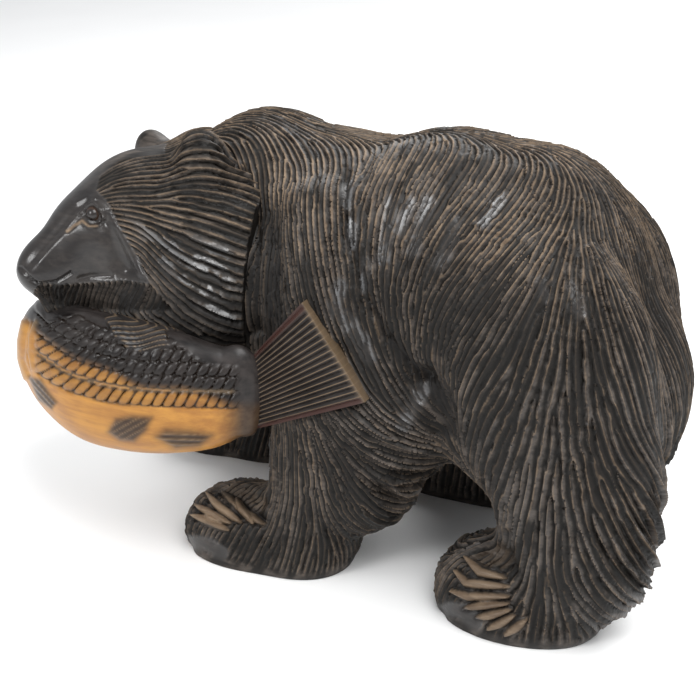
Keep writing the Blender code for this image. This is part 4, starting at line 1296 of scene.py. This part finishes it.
def coat_material():
    """Dark stained and waxed coat with worn ridges, painted shade in its channels and hollows and painted
    glints on its glossy facets, turning to black lacquer on the bare face.
    """
    coat = bpy.context.scene.carving_coat
    material, tree, shader, place = new_material("stained_coat")
    fibre = grouped(tree, wood_fibre(), Place=place, Scale=1.0)
    wear = grouped(tree, edge_wear(), Place=place, Crest=noted(tree, "crest"), Streak=noted(tree, "streak"),
                   Start=0.60, Finish=0.97)
    dust = grouped(tree, settled_dust(), Place=place, Amount=0.03)
    uneven = product(tree, ranged(tree, noted(tree, "strand"), -0.8, 0.9), fibre["Tone"])
    stain = mixed(tree, uneven, tuple(coat.stain), GREY_STAIN)
    rubbed = product(tree, wear["Wear"], noted(tree, "hair"), noted(tree, "worn"),
                     ranged(tree, noted(tree, "strand"), -1.2, 0.1, 0.25, 1.0))
    rubbed = computed(tree, "MAXIMUM", rubbed, product(tree, noted(tree, "tan"), 0.95), clamp=True)
    wood = mixed(tree, fibre["Tone"], DIM_WORN, tuple(coat.worn))
    colour = mixed(tree, rubbed, stain, wood)
    # Painted shade deepening the dark stain: the channels below the ridges' crests are darkened.
    shade = product(tree, ranged(tree, noted(tree, "crest"), 0.45, 0.0), noted(tree, "hair"), 0.95)
    colour = mixed(tree, shade, colour, CHANNEL_SHADE)
    colour = mixed(tree, dust["Dust"], colour, DUST)
    # Painted shadow: the cut hollows, the throat and the lip's fringe are darkened.
    colour = mixed(tree, product(tree, noted(tree, "dark"), 0.7), colour, SHADOW)
    # The gloss mark turns the bare face to its black lacquer, and on the hair it lightens the colour towards
    # a painted glint.
    face = noted(tree, "sheen")
    lacquer = mixed(tree, fibre["Tone"], tuple(coat.lacquer), THIN_LACQUER)
    glint = product(tree, face, noted(tree, "hair"))
    lacquer = mixed(tree, glint, lacquer, PAINTED_GLINT)
    colour = mixed(tree, product(tree, face, 0.85), colour, lacquer)
    tree.links.new(colour, shader.inputs["Base Color"])
    rough = ranged(tree, wear["Wear"], 0.0, 1.0, 0.50, 0.62)
    rough = computed(tree, "MULTIPLY_ADD", dust["Dust"], 0.5, rough)
    rough = computed(tree, "MULTIPLY_ADD", face, -0.22, rough, clamp=True)
    tree.links.new(rough, shader.inputs["Roughness"])
    waxed = computed(tree, "MULTIPLY_ADD", glint, 0.5, product(tree, face, 0.4))
    tree.links.new(waxed, shader.inputs["Coat Weight"])
    shader.inputs["Coat Roughness"].default_value = 0.2
    shader.inputs["Specular IOR Level"].default_value = 0.2
    bumped(tree, shader, fibre["Height"], 0.35, 0.0006)
    return material


def salmon_material():
    """Amber belly that darkens to a charcoal back, with dark grooves round the scales."""
    fish = bpy.context.scene.carving_salmon
    material, tree, shader, place = new_material("stained_salmon")
    fibre = grouped(tree, wood_fibre(), Place=place, Scale=0.7)
    dust = grouped(tree, settled_dust(), Place=place, Amount=0.03)
    amber = mixed(tree, fibre["Tone"], DEEP_AMBER, tuple(fish.belly))
    dark = mixed(tree, fibre["Tone"], tuple(fish.back), PALE_BACK)
    colour = mixed(tree, noted(tree, "amber"), dark, amber)
    colour = mixed(tree, product(tree, noted(tree, "groove"), 0.95), colour, SCALE_GROOVE)
    colour = mixed(tree, noted(tree, "rim"), colour, WORN_EDGE)
    colour = mixed(tree, noted(tree, "rust"), colour, RUST)
    colour = mixed(tree, dust["Dust"], colour, DUST)
    tree.links.new(colour, shader.inputs["Base Color"])
    rough = computed(tree, "MULTIPLY_ADD", fibre["Tone"], 0.12, 0.34)
    tree.links.new(rough, shader.inputs["Roughness"])
    shader.inputs["Coat Weight"].default_value = 0.15
    shader.inputs["Coat Roughness"].default_value = 0.25
    shader.inputs["Specular IOR Level"].default_value = 0.25
    bumped(tree, shader, fibre["Height"], 0.25, 0.0005)
    return material


def eye_material():
    """Glossy lacquer of the eyes."""
    material, tree, shader, place = new_material("eye_lacquer")
    fibre = grouped(tree, wood_fibre(), Place=place, Scale=0.5)
    colour = mixed(tree, noted(tree, "pupil"), EYE_RING, PUPIL)
    colour = mixed(tree, product(tree, fibre["Tone"], 0.25), colour, EYE_FLECK)
    tree.links.new(colour, shader.inputs["Base Color"])
    shader.inputs["Roughness"].default_value = 0.3
    shader.inputs["Coat Weight"].default_value = 0.2
    shader.inputs["Coat Roughness"].default_value = 0.2
    return material


class CarveBody(bpy.types.Operator):
    """Carve the bear's trunk, legs and paws"""

    bl_idname = "carving.carve_body"
    bl_label = "Carve body"

    def execute(self, context):
        coat = context.scene.carving_coat
        skin = clay_skin("bear_body", body_masses(), (CLAY_CELL, CLAY_CELL / 2, coat.cell / SQUARE))
        gouge(skin, body_runs(), body_twin, BODY_LADDER, BODY_SEED, body_plan)
        cut_off(skin, (0, 0, 0), (0, 0, 1))
        material = coat_material()
        halves = {sense: twin_of(skin, CROSSWISE, sense) for sense in (-1, 1)}
        bpy.data.objects.remove(skin)
        for name, ahead, aside in QUARTERS:
            quarter = twin_of(halves[ahead], LENGTHWISE, aside)
            quarter.name = name
            quarter.data.name = name
            thinned(quarter, coat.budget)
            boxed(quarter)
            finish_piece(quarter, material)
        for half in halves.values():
            bpy.data.objects.remove(half)
        return {"FINISHED"}


class CarveHead(bpy.types.Operator):
    """Carve the bear's head and ruff"""

    bl_idname = "carving.carve_head"
    bl_label = "Carve head"

    def execute(self, context):
        coat = context.scene.carving_coat
        fine = HEAD_FINER * coat.cell / SQUARE
        skin = clay_skin("bear_head", head_masses(), (CLAY_CELL, 0.45 * CLAY_CELL, fine))
        gouge(skin, head_runs(), head_twin, HEAD_LADDER, HEAD_SEED, head_plan)
        cut_off(skin, COLLAR_CUT, -Vector(COLLAR_NORMAL))
        thinned(skin, HEAD_TRIANGLES)
        boxed(skin)
        material = bpy.data.materials.get("stained_coat") or coat_material()
        finish_piece(skin, material)
        return {"FINISHED"}


class SetEyes(bpy.types.Operator):
    """Set the two lacquered eyes in their sockets"""

    bl_idname = "carving.set_eyes"
    bl_label = "Set eyes"

    def execute(self, context):
        origin, axes = head_frame()
        place = (pointed_at(head_masses(), EYE) - origin) @ axes.T
        material = eye_material()
        for side, name in ((1, "left_eye"), (-1, "right_eye")):
            centre = origin + (place * (1, side, 1) - (EYE_DEPTH * 0.6, side * EYE_DEPTH, 0)) @ axes
            deselect()
            bpy.ops.mesh.primitive_uv_sphere_add(segments=48, ring_count=24, radius=EYE_RADIUS * SQUARE,
                                                 location=to_metres(centre))
            bpy.ops.object.transform_apply(location=True, rotation=True, scale=True)
            ball = bpy.context.object
            ball.name = name
            outward = unit(axes[1] * side + 0.7 * axes[0])
            points = mesh_arrays(ball.data)[0]
            look = unit(points - to_metres(centre)) @ outward
            note(ball.data, "pupil", smooth(0.55, 0.72, look))
            finish_piece(ball, material)
        return {"FINISHED"}


def stations_at(stations, shares):
    """A smooth curve through the stations, read at shares from 0 to 1 of its length."""
    rows = np.array(stations, float)
    steps = np.linalg.norm(np.diff(rows[:, :3], axis=0), axis=1)
    knots = np.concatenate([[0.0], np.cumsum(steps)]) / steps.sum()
    slopes = np.gradient(rows, knots, axis=0)
    k = np.clip(np.searchsorted(knots, shares, side="right") - 1, 0, len(knots) - 2)
    span = (knots[k + 1] - knots[k])[:, None]
    t = ((shares - knots[k])[:, None]) / span
    start = (1 + 2 * t) * (1 - t) ** 2 * rows[k] + t * (1 - t) ** 2 * span * slopes[k]
    end = t * t * (3 - 2 * t) * rows[k + 1] + t * t * (t - 1) * span * slopes[k + 1]
    return start + end


def fish_loft(ball, mirrored):
    """Points of the fish's smooth body from a unit ball, or of its other side."""
    share = (1 - ball[:, 2]) / 2
    rows = stations_at(FISH, share)
    ahead = stations_at(FISH, np.clip(share + 0.01, 0, 1))[:, :3]
    behind = stations_at(FISH, np.clip(share - 0.01, 0, 1))[:, :3]
    along = unit(ahead - behind)
    side = unit(np.cross(along, (0, 0, 1)))
    high = np.cross(side, along)
    ring = np.maximum(np.hypot(ball[:, 0], ball[:, 1]), 1e-6)
    cx, cy = ball[:, 0] / ring, ball[:, 1] / ring
    cx = np.abs(cx) * (1 if mirrored else np.sign(cx))
    sizes = np.maximum(rows[:, 3:5], 0)
    return rows[:, :3] + side * (sizes[:, 0] * cx)[:, None] + high * (sizes[:, 1] * cy)[:, None]


def line_place(spots, run):
    """How far along a run each spot lies, and how far above it."""
    run = np.array(run, float)
    best = np.full(len(spots), NEVER)
    along = np.zeros(len(spots))
    above = np.zeros(len(spots))
    gone = 0.0
    for a, b in zip(run[:-1], run[1:]):
        length = np.linalg.norm(b - a)
        heading = (b - a) / length
        t = np.clip((spots - a) @ heading / length, 0, 1)
        gap = spots - (a + t[:, None] * (b - a))
        away = np.linalg.norm(gap, axis=1)
        nearer = away < best
        best = np.where(nearer, away, best)
        along = np.where(nearer, gone + t * length, along)
        above = np.where(nearer, gap @ np.array([heading[1], -heading[0]]), above)
        gone += length
    return along, above


def scale_rows(along, above, spacing):
    """Pillow relief of leaning scales in rows beside the lateral line, and the grooves round them."""
    relief = np.zeros(len(along))
    groove = np.zeros(len(along))
    for row, (middle, tall) in enumerate(SCALE_ROWS):
        v = (above - middle) / (tall / 2)
        u = ((along - 0.5 * (above - middle)) / spacing + 0.5 * (row % 2)) % 1.0 - 0.5
        edge = np.abs(u * 2) ** 3 + np.abs(v) ** 3
        inside = np.abs(v) < 1
        relief = np.where(inside, np.clip(1 - edge, 0, 1) ** 0.5, relief)
        groove = np.where(inside, smooth(0.25, 0.80, edge), groove)
    return relief, groove


class CarveSalmon(bpy.types.Operator):
    """Carve the salmon with its scales, gills, fins and tail"""

    bl_idname = "carving.carve_salmon"
    bl_label = "Carve salmon"

    def execute(self, context):
        settings = context.scene.carving_salmon
        deselect()
        bpy.ops.mesh.primitive_uv_sphere_add(segments=FISH_CELLS[0], ring_count=FISH_CELLS[1], radius=1)
        fish = bpy.context.object
        fish.name = "salmon"
        fish.data.name = "salmon"
        ball = mesh_arrays(fish.data)[0]
        points = fish_loft(ball, False)
        set_points(fish.data, points)
        normals = mesh_arrays(fish.data)[1]
        spots = on_template(fish_loft(ball, True))
        along, above = line_place(spots, LATERAL_LINE)
        relief, groove = scale_rows(along, above, settings.scale_length / SQUARE / SQUARE_SPAN)
        top = SCALES_TOP - SCALES_DROP * smooth(*SCALES_DROP_AT, spots[:, 0])
        scaled = smooth(top + 3, top - 3, above) * smooth(*SCALES_LOW, above)
        scaled *= smooth(*SCALES_FRONT, spots[:, 0]) * smooth(*SCALES_REAR, spots[:, 0])
        finned = smooth(-1, 2, within(spots, DORSAL_FIN))
        under = smooth(0, 3, within(spots, JAW_SHADE))
        scaled *= (1 - finned) * (1 - under)
        tall = settings.relief / SQUARE
        height = tall * (relief - SCALE_MIDDLE) * scaled
        line = np.exp(-((above / LINE_WIDTH) ** 2))
        line *= smooth(*LINE_FRONT, spots[:, 0]) * smooth(*LINE_REAR, spots[:, 0])
        height += LINE_HEIGHT * line
        wavy = DORSAL_WAVE * np.sin(spots[:, 0] / DORSAL_WAVE_LENGTH)
        rays = (spots[:, 1] + DORSAL_SLOPE * spots[:, 0] + wavy) / DORSAL_SPACING
        ray = np.abs((rays % 1.0) - 0.5) * 2
        height += finned * (1.4 + 0.9 * (ray - 0.5))
        rim = finned * smooth(0.70, 1.0, ray) * 0.6
        for outline, slope, pitch in FINS:
            fin = smooth(-2, 4, within(spots, outline))
            wave = ((spots[:, 1] + slope * spots[:, 0]) / pitch) % 1.0
            ribs = np.abs(wave - 0.5) * 2
            height += fin * (0.8 + 0.8 * (ribs - 0.5))
            rim = np.maximum(rim, fin * smooth(0.7, 1.0, ribs) * 0.6)
            groove = np.maximum(groove * (1 - fin), fin * smooth(0.6, 0.1, ribs))
            scaled = np.maximum(scaled, 0.7 * fin)
        for _, run, width, rise in GILLS:
            edge = bead(spots, run, width)
            height += rise * edge
            rim = np.maximum(rim, 0.7 * edge)
        for _, run, width, deep in GILL_GROOVES:
            height -= deep * bead(spots, run, width)
        set_points(fish.data, points + normals * height[:, None])
        border = AMBER_TOP - sum(drop * smooth(front, rear, spots[:, 0]) for drop, front, rear in AMBER_DROPS)
        amber = smooth(border + AMBER_SOFT[0], border + AMBER_SOFT[1], above)
        amber *= 1 - 0.92 * smooth(*CHARRED, spots[:, 0])
        fins = np.maximum(smooth(-5, 4, within(spots, PELVIC_FIN)), smooth(-7, 5, within(spots, ANAL_FIN)))
        fins = np.maximum(fins, smooth(-2, 3, within(spots, PECTORAL_FIN)))
        amber *= 1 - 0.85 * fins
        note(fish.data, "amber", amber)
        note(fish.data, "groove", scaled * (0.3 + 0.7 * groove))
        note(fish.data, "rim", np.maximum(rim * 0.55, 0.25 * line))
        note(fish.data, "rust", np.zeros(len(points)))
        boxed(fish)
        tail = tail_fan()
        deselect()
        tail.select_set(True)
        fish.select_set(True)
        context.view_layer.objects.active = fish
        bpy.ops.object.join()
        triangulate = fish.modifiers.new("triangles", "TRIANGULATE")
        triangulate.quad_method = "BEAUTY"
        apply_all(fish)
        finish_piece(fish, salmon_material())
        return {"FINISHED"}


def tail_fan():
    """The tail: a thick fan with fine rays, a rusty top and bottom and a worn rear rim, in metres."""
    deselect()
    bpy.ops.mesh.primitive_grid_add(x_subdivisions=TAIL_CELLS[0], y_subdivisions=TAIL_CELLS[1], size=2)
    fan = bpy.context.object
    flat = mesh_arrays(fan.data)[0]
    u, v = (flat[:, 0] + 1) / 2, (flat[:, 1] + 1) / 2
    (a, b), (c, d) = np.array(TAIL_ROOT, float), np.array(TAIL_TIP, float)
    near = a + u[:, None] * (b - a)
    far = c + u[:, None] * (d - c)
    points = near + v[:, None] * (far - near)
    points[:, 1] -= TAIL_BULGE * np.sin(math.pi * u) * (1 - v)
    rear = points + np.array([0.0, TAIL_DEPTH, 0.0])
    ray = np.abs(((u * TAIL_RAYS) % 1.0) - 0.5) * 2
    rimmed = smooth(*TAIL_RIM, v)
    points[:, 1] -= RAY_HEIGHT * ray * (1 - rimmed) * np.clip(v * 4, 0.3, 1) + TAIL_RIM_HEIGHT * rimmed
    band = np.maximum(smooth(*TOP_BAND, u), smooth(*BOTTOM_BAND, u))
    note(fan.data, "amber", np.zeros(len(points)))
    groove = smooth(0.7, 0.2, ray) * (1 - rimmed) * 0.9
    rim = np.maximum(smooth(0.80, 1.0, ray) * 0.4 * (1 - band), rimmed * 0.3)
    note(fan.data, "rust", band * (1 - rimmed) * 0.8)
    shell = fan.modifiers.new("thickness", "SOLIDIFY")
    shell.thickness = 1.0
    apply_all(fan)
    set_points(fan.data, to_metres(np.vstack([points, rear])))
    outer = np.arange(2 * len(points)) < len(points)
    note(fan.data, "rim", np.tile(rim, 2) * outer)
    note(fan.data, "groove", np.tile(groove, 2) * outer + 0.95 * ~outer)
    take(fan)
    bpy.ops.object.mode_set(mode="EDIT")
    bpy.ops.mesh.select_all(action="SELECT")
    bpy.ops.mesh.normals_make_consistent(inside=False)
    bpy.ops.object.mode_set(mode="OBJECT")
    return fan


def lamp(name, place, aim, size, power):
    """A soft square light that faces a point."""
    deselect()
    bpy.ops.object.light_add(type="AREA", location=place)
    made = bpy.context.object
    made.name = name
    made.data.energy = power
    made.data.size = size
    made.rotation_euler = (Vector(aim) - Vector(place)).to_track_quat("-Z", "Y").to_euler()


class SetStage(bpy.types.Operator):
    """Lay the pale floor and set the lights and the camera"""

    bl_idname = "carving.set_stage"
    bl_label = "Set stage"

    def execute(self, context):
        stage = context.scene.carving_stage
        deselect()
        bpy.ops.mesh.primitive_plane_add(size=FLOOR_WIDTH, location=(0, 0, -FLOOR_DROP))
        bpy.ops.object.transform_apply(location=True)
        floor = bpy.context.object
        floor.name = "studio_floor"
        material, tree, shader, place = new_material("pale_floor")
        cloud = ranged(tree, noise(tree, place, 3.0, 2.0), 0.3, 0.7)
        colour = mixed(tree, cloud, tuple(stage.floor), CLOUDED_FLOOR)
        tree.links.new(colour, shader.inputs["Base Color"])
        shader.inputs["Roughness"].default_value = 0.85
        floor.data.materials.append(material)
        world = bpy.data.worlds.new("studio_air")
        world.use_nodes = True
        world.node_tree.nodes["Background"].inputs["Color"].default_value = (0.95, 0.97, 1.0, 1.0)
        world.node_tree.nodes["Background"].inputs["Strength"].default_value = AIR_STRENGTH
        context.scene.world = world
        context.scene.view_settings.view_transform = "Standard"
        for name, spot, aim, size, share in LAMPS:
            lamp(name, spot, aim, size, stage.key * share)
        eye, axes = camera_frame()
        deselect()
        bpy.ops.object.camera_add(location=eye)
        camera = bpy.context.object
        camera.name = "photo_camera"
        camera.rotation_euler = Matrix(axes.T).to_euler()
        camera.data.lens = stage.lens
        camera.data.sensor_width = SENSOR
        context.scene.camera = camera
        return {"FINISHED"}


class CarvingPanel(bpy.types.Panel):
    """Buttons for each piece of the carving"""

    bl_idname = "VIEW3D_PT_carving"
    bl_label = "Carved bear"
    bl_space_type = "VIEW_3D"
    bl_region_type = "UI"
    bl_category = "Carving"

    def draw(self, context):
        for operator in OPERATORS:
            self.layout.operator(operator.bl_idname)


OPERATORS = (CarveBody, CarveHead, SetEyes, CarveSalmon, SetStage)
SETTINGS = (("carving_coat", CoatSettings), ("carving_salmon", SalmonSettings),
            ("carving_stage", StageSettings))


def register():
    """Adds the settings, the operators and the panel."""
    for name, group in SETTINGS:
        bpy.utils.register_class(group)
        setattr(bpy.types.Scene, name, PointerProperty(type=group))
    for cls in (*OPERATORS, CarvingPanel):
        bpy.utils.register_class(cls)


def unregister():
    """Takes the settings, the operators and the panel away."""
    for cls in (CarvingPanel, *reversed(OPERATORS)):
        bpy.utils.unregister_class(cls)
    for name, group in reversed(SETTINGS):
        delattr(bpy.types.Scene, name)
        bpy.utils.unregister_class(group)


def main():
    """Carves every piece."""
    register()
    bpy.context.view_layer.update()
    bpy.ops.carving.carve_body()
    bpy.ops.carving.carve_head()
    bpy.ops.carving.set_eyes()
    bpy.ops.carving.carve_salmon()
    bpy.ops.carving.set_stage()


if __name__ == "__main__":
    main()
